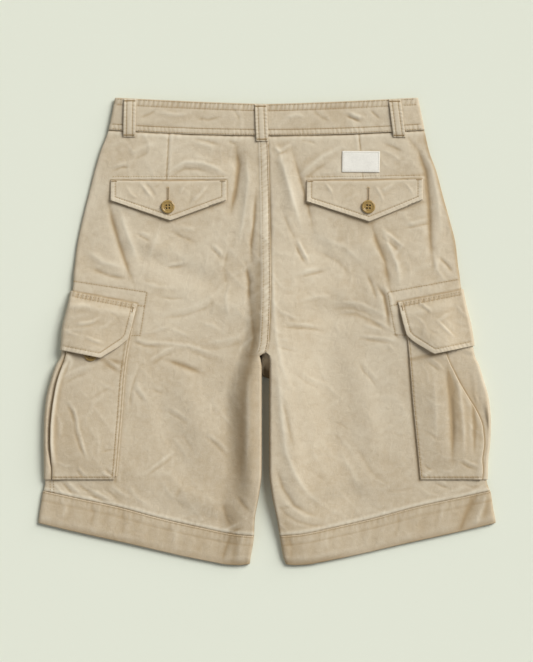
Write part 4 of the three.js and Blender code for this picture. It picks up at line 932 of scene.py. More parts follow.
def unit(vectors):
    return vectors / np.maximum(np.linalg.norm(vectors, axis=-1, keepdims=True), 1e-9)


def grid_normals(mid, ring):
    """Unit normals of a grid of points, facing up on the whole."""
    across = np.roll(mid, -1, 1) - np.roll(mid, 1, 1) if ring else np.gradient(mid, axis=1)
    return unit(np.cross(across, np.gradient(mid, axis=0)))


def outward(mid, normals, ring):
    """At a grid's border, the direction that leads out of it."""
    out = np.zeros_like(mid)
    steps = (
        (np.s_[0, :], np.s_[1, :]), (np.s_[-1, :], np.s_[-2, :]),
        (np.s_[:, 0], np.s_[:, 1]), (np.s_[:, -1], np.s_[:, -2]),
    )
    for border, inside in steps[:2] if ring else steps:
        out[border] += unit(mid[border] - mid[inside])
    out -= normals * (out * normals).sum(2, keepdims=True)
    return unit(out)


def quads(a, b, c, d):
    return np.stack([np.ravel(v) for v in (a, b, c, d)], axis=1)


def add_mesh(name, points_mm, faces, material, wear_and_shade=None):
    """A smooth mesh at the origin, from points in mm, with its wear and painted shade at each point where
    given.
    """
    mesh = bpy.data.meshes.new(name)
    mesh.from_pydata(np.asarray(points_mm) * MM, [], faces if isinstance(faces, list) else faces.tolist())
    mesh.polygons.foreach_set("use_smooth", np.ones(len(mesh.polygons), bool))
    if wear_and_shade is not None:
        layer = mesh.attributes.new("wear_and_shade", "FLOAT", "POINT")
        layer.data.foreach_set("value", np.asarray(wear_and_shade, np.float32).ravel())
    mesh.materials.append(material)
    mesh.validate()
    mesh.update()
    piece = bpy.data.objects.new(name, mesh)
    bpy.context.collection.objects.link(piece)
    return piece


def cloth_shell(name, mid, thickness, material, wear_and_shade, ring):
    """A closed shell of even thickness round a grid of points, with a rounded rim."""
    rows, columns = mid.shape[:2]
    normals = grid_normals(mid, ring)
    out = outward(mid, normals, ring)
    wear_and_shade = np.zeros(rows * columns) if wear_and_shade is None else wear_and_shade.ravel()
    mid = (mid - out * thickness / 2).reshape(-1, 3)
    normals, out = normals.reshape(-1, 3), out.reshape(-1, 3)
    total = count = rows * columns
    at = np.arange(count).reshape(rows, columns)
    if ring:
        left, right = at, np.roll(at, -1, 1)
        rims = [at[0], at[-1, ::-1]]
    else:
        left, right = at[:, :-1], at[:, 1:]
        rims = [np.r_[at[0, :-1], at[:-1, -1], at[-1, :0:-1], at[:0:-1, 0]]]
    points = [mid + normals * thickness / 2, mid - normals * thickness / 2]
    numbers = [wear_and_shade, wear_and_shade]
    faces = [
        quads(left[:-1], right[:-1], right[1:], left[1:]),
        quads(left[:-1] + count, left[1:] + count, right[1:] + count, right[:-1] + count),
    ]
    total += count
    for rim in rims:
        circles = [rim]
        for angle in RIM_ANGLES:
            lean = normals[rim] * math.sin(angle) + out[rim] * math.cos(angle)
            points.append(mid[rim] + lean * thickness / 2)
            numbers.append(wear_and_shade[rim])
            circles.append(np.arange(total, total + len(rim)))
            total += len(rim)
        circles.append(rim + count)
        for upper, lower in zip(circles[:-1], circles[1:]):
            faces.append(quads(np.roll(upper, -1), upper, lower, np.roll(lower, -1)))
    points, faces = np.concatenate(points), np.concatenate(faces)
    a, b, c, d = (points[faces[:, k]] for k in range(4))
    if (a * np.cross(b, c)).sum() + (a * np.cross(c, d)).sum() < 0:
        faces = faces[:, ::-1]
    return add_mesh(name, points, faces, material, np.concatenate(numbers))


def cloth_piece(solid, mid, thickness, wear_and_shade, material=None, ring=False):
    """Cloth round a grid of points, which stands for a CAD solid and hides it."""
    piece = cloth_shell(f"{solid}_cloth", mid, thickness, material or twill, wear_and_shade, ring)
    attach(piece, "root")
    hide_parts(solid)


def shares(count):
    return np.linspace(0, 1, count)[None]


def spaced(length, step):
    return np.linspace(0, 1, max(2, int(round(length / step)) + 1))


# Materials


def node(tree, kind, inputs=None, **settings):
    made = tree.nodes.new(kind)
    for key, value in settings.items():
        setattr(made, key, value)
    for key, value in (inputs or {}).items():
        if isinstance(value, bpy.types.NodeSocket):
            tree.links.new(value, made.inputs[key])
        else:
            made.inputs[key].default_value = value
    return made


def noise(tree, place, scale, detail=2.0, **more):
    inputs = {"Vector": place, "Scale": scale, "Detail": detail, **more}
    return node(tree, "ShaderNodeTexNoise", inputs).outputs[0]


def bumped(tree, height, strength, distance, **more):
    inputs = {"Height": height, "Strength": strength, "Distance": distance, **more}
    return node(tree, "ShaderNodeBump", inputs).outputs[0]


def turned(tree, place, **more):
    return node(tree, "ShaderNodeMapping", {"Vector": place, **more}).outputs[0]


def ramp(tree, value, stops):
    """A colour by value, from stops of a position and a colour."""
    made = node(tree, "ShaderNodeValToRGB", {"Fac": value})
    elements = made.color_ramp.elements
    for _ in stops[2:]:
        elements.new(0.5)
    for element, (position, colour) in zip(elements, stops):
        element.position = position
        element.color = (*colour, 1)
    return made.outputs[0]


def base_material(name, roughness, sheen=0.0):
    """A material with its tree, its shader and the place in the object."""
    material = bpy.data.materials.new(name)
    material.use_nodes = True
    tree = material.node_tree
    shader = tree.nodes["Principled BSDF"]
    shader.inputs["Roughness"].default_value = roughness
    shader.inputs["Sheen Weight"].default_value = sheen
    shader.inputs["Sheen Roughness"].default_value = 0.5
    return material, tree, shader, node(tree, "ShaderNodeTexCoord").outputs["Object"]


def shade(tree, shader, colour, normal):
    tree.links.new(colour, shader.inputs["Base Color"])
    tree.links.new(normal, shader.inputs["Normal"])


def cloth_material(name, colour, faded_and_highlight, deep, weave, mottle):
    """Cotton twill: slanted weave, faded patches and streaks, darker towards the bottom, and its wear and
    shade: lighter where worn and in painted highlights, darker and warmer in painted shade.
    """
    material, tree, shader, place = base_material(name, 0.9, 0.05)

    def mixed(factor, a, b):
        mix = node(tree, "ShaderNodeMix", {"Factor": factor}, data_type="RGBA")
        for key, value in ((6, a), (7, b)):
            if isinstance(value, bpy.types.NodeSocket):
                tree.links.new(value, mix.inputs[key])
            else:
                mix.inputs[key].default_value = (*value, 1)
        return mix.outputs[2]

    def ranged(value, low, high, to_low=0.0, to_high=1.0):
        inputs = {"Value": value, "From Min": low, "From Max": high, "To Min": to_low, "To Max": to_high}
        return node(tree, "ShaderNodeMapRange", inputs).outputs[0]

    patches = noise(tree, place, 9.0, 4.0, Roughness=0.55)
    streaks = noise(tree, place, 55.0, 5.0, Roughness=0.6)
    clouds = noise(tree, place, 130.0, 4.0, Roughness=0.65)
    fibres = noise(tree, place, 620.0, 3.0, Roughness=0.7)
    slant = turned(tree, place, Rotation=(0, 0, math.radians(28)))
    bands = {"Vector": slant, "Scale": 300.0, "Distortion": 1.2, "Detail": 2.0}
    rib = node(tree, "ShaderNodeTexWave", bands, wave_type="BANDS", bands_direction="X").outputs[0]
    wear_and_shade = node(tree, "ShaderNodeAttribute", attribute_name="wear_and_shade").outputs["Fac"]
    up_down = node(tree, "ShaderNodeSeparateXYZ", {"Vector": place}).outputs[1]

    tone = mixed(ranged(up_down, 0.08, -0.26, 0.0, 0.22), colour, deep)
    tone = mixed(ranged(patches, 0.35, 0.7, 0, 0.5 * mottle), tone, faded_and_highlight)
    tone = mixed(ranged(streaks, 0.45, 0.75, 0, 0.3 * mottle), tone, deep)
    tone = mixed(ranged(clouds, 0.4, 0.7, 0, 0.34 * mottle), tone, faded_and_highlight)
    tone = mixed(ranged(fibres, 0.35, 0.75, 0, 0.22), tone, faded_and_highlight)
    tone = mixed(ranged(rib, 0.1, 0.9, 0.08 * weave, 0), tone, deep)
    # lighter where worn and in painted highlights, darker and warmer in painted shade
    tone = mixed(ranged(wear_and_shade, 0.0, 1.0), tone, faded_and_highlight)
    tone = mixed(ranged(wear_and_shade, 0.0, -1.0), tone, deep)
    leaning = turned(tree, turned(tree, place, Rotation=(0, 0, 0.75)), Scale=(1, 0.6, 1))
    wrinkles = noise(tree, leaning, 120.0, 4.0, Distortion=0.8)
    normal = bumped(tree, rib, 0.2 * weave, 0.0003)
    normal = bumped(tree, fibres, 0.3, 0.0004, Normal=normal)
    shade(tree, shader, tone, bumped(tree, wrinkles, 0.5, 0.0016, Normal=normal))
    return material


def plain_material(name, colour, roughness, spread=0.12, scale=900.0, bump=0.2):
    """One tone with a fine grain."""
    material, tree, shader, place = base_material(name, roughness)
    grain = noise(tree, place, scale, 3.0)
    darker, lighter = ([min(1, c * (1 + change)) for c in colour] for change in (-spread, spread))
    shade(tree, shader, ramp(tree, grain, ((0.3, darker), (0.7, lighter))), bumped(tree, grain, bump, 0.0002))
    return material


def thread_material(name, colour, spread=0.2):
    return plain_material(name, colour, 0.8, spread, 1500.0)


def button_material():
    """Mottled golden brown horn-like plastic."""
    material, tree, shader, place = base_material("brown_button", 0.34)
    clouds = noise(tree, place, 190.0, 4.0, Distortion=1.4)
    stops = ((0.25, (0.25, 0.155, 0.045)), (0.5, (0.345, 0.225, 0.07)), (0.78, (0.43, 0.29, 0.10)))
    shade(tree, shader, ramp(tree, clouds, stops), bumped(tree, noise(tree, place, 2600.0), 0.12, 0.0001))
    shader.inputs["Coat Weight"].default_value = 0.25
    return material


# The cloth's colour; a faded colour for its patches and for painted highlights; a deep colour for its
# streaks, for the darkening towards the bottom and for painted shade
KHAKI, FADED_AND_HIGHLIGHT, DEEP_AND_SHADE = (0.53, 0.436, 0.3), (0.685, 0.615, 0.476), (0.345, 0.243, 0.125)
twill = cloth_material("khaki_twill", KHAKI, FADED_AND_HIGHLIGHT, DEEP_AND_SHADE, 0.5, 0.8)
inside_twill = cloth_material("khaki_twill_inside", (0.44, 0.34, 0.22), KHAKI, DEEP_AND_SHADE, 0.4, 1.0)
# a dark colour for the painted shadow in the buttonholes' slits
slit_shadow_material = plain_material("slit_painted_shadow", (0.2, 0.145, 0.09), 0.9)
cream = plain_material("cream_tape", (0.79, 0.765, 0.685), 0.85, 0.06, 700.0, 0.4)
tan_thread = thread_material("tan_thread", (0.33, 0.222, 0.10))
cream_thread = thread_material("cream_thread", (0.66, 0.62, 0.52), 0.15)
hole_thread = thread_material("light_tan_thread", (0.47, 0.35, 0.2))
dark_thread = thread_material("brown_thread", (0.06, 0.036, 0.018))
horn = button_material()


# Wear and painted light: how faded or how deep the tone is, from wear, painted highlights and painted shade


def box_blur(field, radius):
    """Average over a square of points."""
    for axis in (0, 1):
        margin = [(radius + 1, radius) if a == axis else (0, 0) for a in (0, 1)]
        total = np.pad(field, margin, "edge").cumsum(axis)
        count = total.shape[axis]
        ahead = np.take(total, range(2 * radius + 1, count), axis)
        field = (ahead - np.take(total, range(0, count - 2 * radius - 1), axis)) / (2 * radius + 1)
    return field


def shade_and_wear(relief, edges=0.0):
    """Tone by the relief: painted highlights on ridges and painted shade in troughs, with the given offset,
    where edges rub lighter.
    """
    return np.clip(0.8 * (relief - box_blur(relief, 3)) + 0.2 * relief + edges, -0.9, 0.9)


def flap_shade_and_wear(surface, edges):
    # painted highlights and painted shade from the flap's relief at a middle size
    return shade_and_wear(box_blur(surface, 1) - box_blur(surface, 6), edges)


def seat_painted_shade(x, y):
    """Painted shade in the seams' ditches, along the rows of stitches and darts, round the flaps, by the
    pockets and on the right rim, with the painted bands, as an offset of the wear and shade.
    """
    # painted shade in the ditches of the waist seam and the hem seam
    tone = -0.3 * bell(waist_seam(x) - y, 1.2) - 0.2 * bell(y - hem_seam(np.abs(x)), 1.6)
    for side in SIGN:
        above, from_end = above_flap(side, x, y)
        # a painted shadow along each seat flap's top under the welt, and painted shade along its row and in
        # the darts
        welt = 0.9 * bell(above - 0.4, 1.3) + 0.15 * bell(above - 4.6, 1.1)
        tone = tone - 0.5 * bell(along_path(DARTS[side], x, y)[0], 1.0) - smooth(-2, 2, from_end) * welt
        for path in PATCH_STITCH[side]:
            tone = tone - 0.2 * bell(along_path(path, x, y)[0], 1.2)
        # painted shadows round the seat flaps and the cargo flaps, and along each cargo flap's sewn top edge
        tone = tone - 0.45 * bell(along_path(seat_flap_outline(side), x, y + 1.5)[0], 2.4)
        tone = tone - 0.5 * bell(along_path(cargo_outline(side)[:-1], x + 0.8, y + 0.8)[0], 2.6)
        sewn = [cargo_place(side, 0, 0), cargo_place(side, 110, 0)]
        tone = tone - 0.7 * bell(along_path(sewn, x, y - 0.4)[0], 1.2)
        # painted shade on the panel beside each pocket's inner edge
        beside = (pocket_inner[side](y) - x) * SIGN[side]
        tone = tone - 0.7 * bell(beside - 1.5, 2.2) * smooth(-203, -197, y) * smooth(-20, -45, y)
    # painted shade on the right side's rim, which faces the light, in the felled seam's rows and ditch, and
    # the bands of painted shade and light
    right_rim_painted_shade = smooth(6, 1, reach(x, y)) * (x > 0)
    from_ditch, in_seat = past_ditch(x, y)
    rows = sum(bell(from_ditch + at, 0.9) for at in FELL["rows"])
    tone = tone - 0.7 * right_rim_painted_shade + creased(SHADE_AND_LIGHT_BANDS, x, y)
    return tone - in_seat * (0.22 * rows + 0.2 * bell(from_ditch - 0.6, 1.1))


# Leg panels and hems


def leg_plan(side, inner, outer, inset, top, bottom, rows, middle):
    """Points in plan of a leg layer, with their distances in from its inner and outer edges."""
    sign = SIGN[side]
    part = 1 - np.cos(ROLL_ANGLES)
    a = np.r_[part, np.ones(middle), 2 - part[::-1]]
    b = np.r_[0 * part, np.linspace(0, 1, middle), 1 + 0 * part]
    share = rows[:, None]
    x, y = np.full((len(rows), len(a)), sign * 100.0), np.zeros((len(rows), len(a)))
    for _ in range(8):
        y = lerp(top(x), bottom(x), share)
        start = inner(side, y) + sign * inset
        width = np.abs(outer(side, y) - start) - inset
        offset = a * ROLL + b * (width - 2 * ROLL)
        x = start + sign * offset
    return x, y, offset, width - offset


def panel_plan(side, edge, crotch, dip, rows, middle):
    """Plan of a leg panel, how far its crotch is open, and its share of the full height.

    The right panels pass under the left ones along the centre seam.
    """

    def inner(which, y):
        past_centre = TUCK * smooth(crotch, crotch + 8, y) if side == "right" else 0
        return edge(which, y) - past_centre

    def top(x):
        return waist_seam(x) - dip(x) + TUCK

    def bottom(x):
        return hem_seam(np.abs(x)) - TUCK

    x, y, from_inner, from_outer = leg_plan(side, inner, outer_edge, PANEL / 2, top, bottom, rows, middle)
    opened = smooth(crotch, crotch - CROTCH_OPENS_IN, y)
    return x, y, from_inner, opened, roll(from_outer) * lerp(1, roll(from_inner, INNER_ROLL), opened)


def seam_height(x, y):
    return (rise(x, y) + top_height(x, y)) / 2


def tucked(x, y, top_drop, low_drop):
    """How far a panel's ends dip to pass under the waistband and the hem."""
    at_top = smooth(-1.6, 1.2, y - (waist_seam(x) - 0.5))
    at_low = smooth(-1.6, 1.2, hem_seam(np.abs(x)) + 0.5 - y)
    return top_drop * at_top + low_drop * at_low


def back_panel(side):
    rows = spaced(531, 1.9)
    x, y, from_inner, opened, up = panel_plan(side, inner_edge, BACK_CROTCH_Y, np.zeros_like, rows, 152)
    surface = seat_surface(x, y) - tucked(x, y, 1.6, 2.1)
    if side == "right":
        surface = surface - 1.35 * smooth(0.9, -0.5, x - inner_line["left"](y)) * (1 - opened)
    mid = grid(x, y, lerp(seam_height(x, y) + HALF_SEAM, surface - PANEL / 2, up))
    # painted shade on the inner walls where the legs face each other across the gap
    gap_wall_painted_shade = 0.8 * opened * smooth(1.5, 0.2, from_inner)
    wear_and_shade = shade_and_wear(surface - top_height(x, y), seat_painted_shade(x, y) - gap_wall_painted_shade)
    cloth_piece(f"back_{side}", mid, PANEL, wear_and_shade)


def front_relief(x, y):
    """The front's own soft waves and creases, which only ever rise from the surface it lies on."""
    waves = 0.5 + 0.8 * unevenness(x, y, 61) + 0.7 * creased(FRONT_CREASES, -x, y + 14)
    return np.clip(waves, 0.02, 1.3) * smooth(0, 12, np.abs(reach(x, y)))


def front_panel(side):
    rows = spaced(526, 3.2)
    x, y, from_inner, opened, up = panel_plan(side, front_inner_edge, FRONT_CROTCH_Y, front_dip, rows, 60)
    relief = front_relief(x, y) + tucked(x, y + front_dip(x), 2.2, 2.0)
    relief = relief + 12 * smooth(-60, -31, y) * smooth(34, 0, y) * smooth(-13, 0, x) * smooth(34, 8, x)
    if side == "right":
        from_seam = x - inner_line["left"](np.maximum(y, BACK_CROTCH_Y))
        relief = relief + 1.5 * smooth(1.6, -0.6, from_seam) * (1 - opened)
    mid = grid(x, y, lerp(seam_height(x, y) - HALF_SEAM, rise(x, y) + PANEL / 2 + relief, up))
    # painted shade in the crotch between the legs, lighter towards its top, and on the inner walls across the
    # gap
    crotch_painted_shade = smooth(14, 9, np.abs(x + 2)) * smooth(-70, -62, y) * smooth(-22, -30, y)
    gap_wall_painted_shade = 0.9 * opened * smooth(5, 1, from_inner)
    wear_and_shade = shade_and_wear(relief, -gap_wall_painted_shade - 0.9 * crotch_painted_shade * lerp(1, 0.5, smooth(-56, -36, y)))
    cloth_piece(f"front_{side}", mid, PANEL, wear_and_shade, inside_twill)


def hem(side):
    """A ring round the leg's end."""

    def outer(which, y):
        return silhouette[which](y)

    def top(x):
        return hem_seam(np.abs(x)) - HALF_SEAM

    def bottom(x):
        return hem_edge(np.abs(x))

    plan = leg_plan(side, inner_edge, outer, HEM / 2, top, bottom, spaced(40, 1.65), 148)
    x, y, from_inner, from_outer = plan
    up = roll(np.minimum(from_inner, from_outer))
    surface = hem_surface(x, y)
    under = HEM / 2 + 0.25 * np.clip(unevenness(x, y, 71) + 0.3, 0, 1)
    upper, lower = (grid(x, y, lerp(under, surface - HEM / 2, (1 + way * up) / 2)) for way in (1, -1))
    below = top(x) + HALF_SEAM - y
    # the hem darker overall, with painted shade along its row of stitches and its inner fold, and the bands
    # of painted shade and light
    tone = -0.32 - 0.22 * bell(below - HEM_ROW, 1.0) - 0.1 * bell(below - HEM_FOLD, 1.5)
    wear_and_shade = shade_and_wear(surface - top_height(x, y), tone + creased(SHADE_AND_LIGHT_BANDS, x, y))
    mid = np.concatenate([upper, lower[:, -2:0:-1]], axis=1)
    wear_and_shade = np.concatenate([wear_and_shade, wear_and_shade[:, -2:0:-1]], axis=1)
    cloth_piece(f"hem_{side}", mid, HEM, wear_and_shade, ring=True)


# Waistband and loops


def half_turn(low, high):
    """Heights round an outer edge, from the upper layer's height down to the lower one's."""
    return lerp(low, high, (1 + np.sin(TURN_ANGLES)) / 2)


def waistband(side):
    sign = SIGN[side]
    share = spaced(42, 1.55)[:, None]

    def back(x):
        return lerp(waist_top(x), waist_seam(x) + HALF_SEAM, share)

    bend = silhouette[side](back(sign * WAIST["half"])) - sign * (BAND / 2 + ROLL)
    x = lerp(CENTRE_BACK_X + sign * HALF_SEAM, bend, shares(122))
    y = back(x)
    surface = band_surface(x, y)
    low = UNDER["waist"] + BAND / 2
    turn_x = bend + sign * np.cos(TURN_ANGLES) * ROLL
    front_x = lerp(bend, sign * HALF_SEAM, shares(66))
    front_y = back(front_x) - front_dip(front_x)
    upper = grid(x, y, surface - BAND / 2)
    turn = grid(turn_x, back(turn_x), half_turn(low, upper[:, -1:, 2]))
    lower = grid(front_x, front_y, low + 0.12 * unevenness(front_x, front_y, 75))
    mid = np.concatenate([upper, turn, lower], axis=1)
    from_top, from_seam = waist_top(x) - y, y - waist_seam(x)
    # darker overall, with painted shade along the rows of stitches, and darker between the top edge and the
    # upper row
    rows = bell(from_top - 9.1, 0.9) + bell(from_top - 1.7, 0.9) + bell(from_seam - 8.3, 0.9)
    tone = -0.1 - 0.2 * rows - 0.14 * smooth(9, 7, from_top)
    wear_and_shade = np.full(mid.shape[:2], -0.1)
    wear_and_shade[:, : x.shape[1]] = shade_and_wear(surface - BAND / 2 - top_height(x, y), tone)
    cloth_piece(f"waistband_{side}", mid, BAND, wear_and_shade)


def strip_relief(across, along, length):
    """Puffed edges and middle of a narrow strip with a row of stitches along each side."""
    from_edge = LOOP_WIDE / 2 - np.abs(across)
    relief = groove(from_edge, LOOP_ROW_IN, 0.9, 0.45) + 0.15 * bell(across, 3.0)
    relief = relief + pucker(from_edge - 2.2, along, 5.2, 3.4, 0.26, 0.3, 151)
    from_end = np.minimum(along, length - along)
    return relief - 0.4 * smooth(1.0, 0, from_edge) + groove(from_end, BAR_IN, 1.3, 0.35)


def loop_centre(name, share):
    """Middle line of a back loop, and its length."""
    x_top, x_low, arch = BELT_LOOPS[name]
    top, low = waist_top(x_top) - 1, waist_seam(x_low) - LOOP_PAST_SEAM
    x, y = lerp(x_top, x_low, share), lerp(top, low, share)
    on_band, on_panel = band_rest(x, y), top_height(x, y) + np.where(np.abs(x) < 20, FELL["high"], 0)
    seam = waist_seam(x)
    under = lerp(on_panel, on_band, smooth(low - 2, seam + 1, y))
    rest = np.maximum(under, lerp(on_panel, on_band, smooth(seam - 9, seam, y)))
    return x, y, rest + LAID_GAP + LOOP / 2 + arch * np.sin(math.pi * np.clip(share, 0, 1)) ** 0.8, top - low


def loop_surface(name, across, share):
    """Point on a back loop's upper surface."""
    x, y, z, length = loop_centre(name, share)
    return x + across, y + 0 * across, z + LOOP / 2 + strip_relief(across, share * length, length)


def belt_loop(name):
    share, across = spaced(50, 1.0)[:, None], np.linspace(-0.5, 0.5, 17)[None] * LOOP_WIDE
    x, y, z = loop_surface(name, across, share)
    # painted shade along the rows of stitches
    tone = 0.05 - 0.3 * bell(LOOP_WIDE / 2 - np.abs(across) - LOOP_ROW_IN, 0.9) + 0 * share
    wear_and_shade = shade_and_wear(strip_relief(across, share * 50, 50), tone)
    cloth_piece(name, grid(x, y, z - LOOP / 2), LOOP, wear_and_shade)


def front_loop(name):
    at = FRONT_LOOPS[name]
    top, low = waist_top(at) - front_dip(at) - 1, waist_seam(at) - front_dip(at) - LOOP_PAST_SEAM
    along, across = np.linspace(0, top - low, 48)[:, None], np.linspace(-0.5, 0.5, 15)[None] * LOOP_WIDE
    lift = 0.25 * bell(LOOP_WIDE / 2 - np.abs(across) - 2.0, 0.8) + 0 * along
    cloth_piece(name, grid(at + across, top - along, LOOP / 2 + lift), LOOP, shade_and_wear(lift))


# Cargo pockets


def hairpin(centre_x, high, low, facing, y):
    """Half a turn from a height down to a lower one."""
    x = centre_x + facing * np.cos(HAIRPIN_ANGLES) * LAYER_STEP / 2
    return grid(x, y, lerp(low, high, (1 + np.sin(HAIRPIN_ANGLES)) / 2))


def pocket_face_top(side, x, y):
    """A pocket face's upper surface: relief only where no flap covers it, and closed at the bottom edge."""
    inner, pleat = pocket_inner[side](y), pleat_edge(side, y)
    share = np.clip((x - inner) / (pleat - inner), 0, 1)
    depth = CARGO_FLAP[side]["depth"]
    shown = smooth(depth - 3, depth + 5, below_flap(side, x, y))
    floor = -0.28 - (0.3 + 0.75 * bulge(side, y)) * np.sin(math.pi * share) ** 2
    relief = soft_floor(pocket_relief(side, x, y), floor) * shown
    pleat_top = top_height(pleat - SIGN[side] * PLEAT_DEPTH, y)
    base = lerp(top_height(x, y), pleat_top, smooth(0.6, 1, share))
    closing = lerp(roll(y - POCKET_BOTTOM_Y + 0.4, 4.5), 1, smooth(0.8, 0.95, share))
    lift = lerp(LAID_GAP + POCKET / 2, face_lift(side, share, y), closing)
    return base + lift + POCKET / 2 + relief * closing


def face_shade_and_wear(side, x, y):
    """Wear and painted light of a pocket's face: painted shade along its rows of stitches, painted shade at
    the left pleat's edge and a painted highlight at the right one, and a painted shadow under its flap.
    """
    y = y + 0 * x
    from_inner, from_pleat = np.abs(x - pocket_inner[side](y)), (pocket_pleat[side](y) - x) * SIGN[side]
    rows = bell(from_inner - STITCH_IN[side], 0.9) + bell(y - POCKET_BOTTOM_Y - LOW_ROW_UP, 0.9)
    past_flap = below_flap(side, x, y) - CARGO_FLAP[side]["depth"]
    # a painted shadow just below the flap's lower edge
    painted_shadow_under_flap = 0.5 * smooth(-3, 0, past_flap) * smooth(6, 1, past_flap)
    pleat_painted_light = {"left": -0.3, "right": 0.05}[side] * bell(from_pleat, 3.0)
    tone = pleat_painted_light + creased(POCKET_PAINTED_SHADE, x, y) - 0.12 - painted_shadow_under_flap - 0.25 * np.clip(rows, 0, 1)
    return shade_and_wear(pocket_relief(side, x, y), tone)


def pocket_base_relief(side, x, y, back, bend, turned_edge):
    """Relief of the pocket's layer beyond the pleat, with the outer edge that stands up."""
    waves = 0.3 * unevenness(x, y + 0 * x, 12) * smooth(6, 20, np.abs(x - back))
    waves = np.clip(waves, -0.2, 0.6) * smooth(0, 10, np.abs(x - bend))
    near, far, high, start, full = PLEAT_RIM[side]
    pleat = pocket_pleat[side](y)
    share_out = (x - pleat) / (silhouette[side](y) - pleat)
    rim = high * smooth(near, far, share_out) * smooth(-205, -170, y) * smooth(start, full, y)
    shown = smooth(3, 8, (x - turned_edge) * SIGN[side])
    return waves + soft_floor(1.2 * creased(POCKET_CREASES, x, y), -0.25) * shown + rim


def cargo_pocket(side):
    """The face, a hairpin fold under it, the layer on the panel, and the layer round the side seam."""
    sign = SIGN[side]
    y = np.linspace(POCKET_TOP_Y, POCKET_BOTTOM_Y, 118)[:, None]
    inner, edge_x = pocket_inner[side](y), pleat_edge(side, y)
    edge = silhouette[side](y) - sign * (2.3 * smooth(-46, -33, y) + POCKET / 2)
    bend, back = edge - sign * ROLL, pocket_pleat[side](y) - sign * PLEAT_DEPTH
    base = top_height(back, y) + LAID_GAP + POCKET / 2

    face_x = lerp(inner, edge_x, shares(54))
    face_z = pocket_face_top(side, face_x, y) - POCKET / 2
    base_x = lerp(back, bend, shares(24))
    base_z = base + pocket_base_relief(side, base_x, y, back, bend, edge_x)
    lower_x = lerp(bend, silhouette[side](y) - sign * REACH_UNDER, shares(26))
    low = POCKET / 2 + UNDER["flap"] * under_flap(edge, y)
    layers = [
        grid(face_x, y, face_z),
        hairpin(edge_x, face_z[:, -1:], base + LAYER_STEP, sign, y),
        grid(lerp(edge_x, back, shares(4)), y, base + LAYER_STEP),
        hairpin(back, base + LAYER_STEP, base, -sign, y),
        grid(base_x, y, base_z),
        grid(bend + sign * np.cos(TURN_ANGLES) * ROLL, y, half_turn(low, base_z[:, -1:])),
        grid(lower_x, y, POCKET / 2 + UNDER["flap"] * under_flap(lower_x, y + 0 * lower_x)),
    ]
    mid = np.concatenate(layers, axis=1)
    wear_and_shade = np.zeros(mid.shape[:2])
    wear_and_shade[:, : face_x.shape[1]] = face_shade_and_wear(side, face_x, y)
    start = sum(layer.shape[1] for layer in layers[:4])
    # painted shade in the pleat's gap, with the pockets' bands of painted shade
    pleat_gap_painted_shade = smooth(4.5, 1.5, (base_x - edge_x) * sign)
    base_painted_shade = np.clip(creased(POCKET_PAINTED_SHADE, base_x, y) - 0.9 * pleat_gap_painted_shade, -0.9, 0.5)
    wear_and_shade[:, start : start + base_x.shape[1]] = base_painted_shade
    cloth_piece(f"cargo_pocket_{side}", mid, POCKET, wear_and_shade)


def cargo_gusset(side):
    sign = SIGN[side]
    y = np.linspace(GUSSET["top"], GUSSET["bottom"], 122)[:, None]
    inner = pocket_inner[side](y)
    x = lerp(inner - sign * GUSSET_SHOWS[side], inner + sign * GUSSET["tucked"], shares(12))
    y = y + 0 * x
    past_inner = (x - inner) * sign
    ripple = pucker(past_inner + 2, y, 8.0, 6.0, 0.12, 0.4, 161)
    z = top_height(x, y) + LAID_GAP + POCKET / 2 + np.clip(ripple, 0, 1) * smooth(3, -2, past_inner)
    # painted shade along the pocket's inner edge
    wear_and_shade = shade_and_wear(ripple, -0.75 * smooth(2.2, 0.6, np.abs(x - inner)))
    cloth_piece(f"cargo_gusset_{side}", grid(x, y, z), POCKET, wear_and_shade)


# Flaps and the patch


def edge_wear_and_row_shade(off, light):
    """Wear and painted shade of a flap's edge: lighter with wear up to its row of stitches, with painted
    shade in the row.
    """
    inside = np.abs(off)
    band = light * smooth(FLAP_STITCH_IN + 0.4, FLAP_STITCH_IN - 0.8, inside)
    return band - 0.28 * bell(inside - FLAP_STITCH_IN, 0.9)


def cargo_flap(side):
    sewn = CARGO_FLAP[side]
    depth = np.linspace(0, sewn["depth"], 56)[:, None]
    edge = np.full_like(depth, 90.0)
    for _ in range(6):
        x, y = cargo_place(side, edge, depth)
        edge = edge + (np.abs(silhouette[side](y)) - FLAP / 2 - np.abs(x)) * math.hypot(1, sewn["slope"])
    bend, start = edge - ROLL, flap_inset(depth * FLAP_EDGE_DEPTH / sewn["depth"])
    x, y = cargo_place(side, lerp(start, bend, shares(66)), depth)
    surface = cargo_flap_surface(side, x, y)
    upper_z = surface - FLAP / 2
    turn_x, turn_y = cargo_place(side, bend + np.cos(TURN_ANGLES) * ROLL, depth)
    below_along = lerp(bend, edge - REACH_UNDER + start, shares(24))
    low_x, low_y = cargo_place(side, below_along, depth)
    layers = [
        grid(x, y, upper_z),
        grid(turn_x, turn_y, half_turn(FLAP / 2, upper_z[:, -1:])),
        grid(low_x, low_y, FLAP / 2),
    ]
    # a lighter worn edge band with painted shade in its row, the flap darker overall, painted shade between
    # its two rows and a painted shadow along its sewn top edge
    light = edge_wear_and_row_shade(along_path(cargo_outline(side), x, y)[0], 0.3) - 0.16
    light = light - 0.3 * smooth(2.4, 3.2, depth) * smooth(7.8, 7.0, depth) - 0.6 * smooth(1.8, 0.6, depth)
    mid = np.concatenate(layers, axis=1)
    wear_and_shade = np.zeros(mid.shape[:2])
    wear_and_shade[:, : x.shape[1]] = flap_shade_and_wear(surface, light)
    cloth_piece(f"cargo_flap_{side}", mid, FLAP, wear_and_shade)


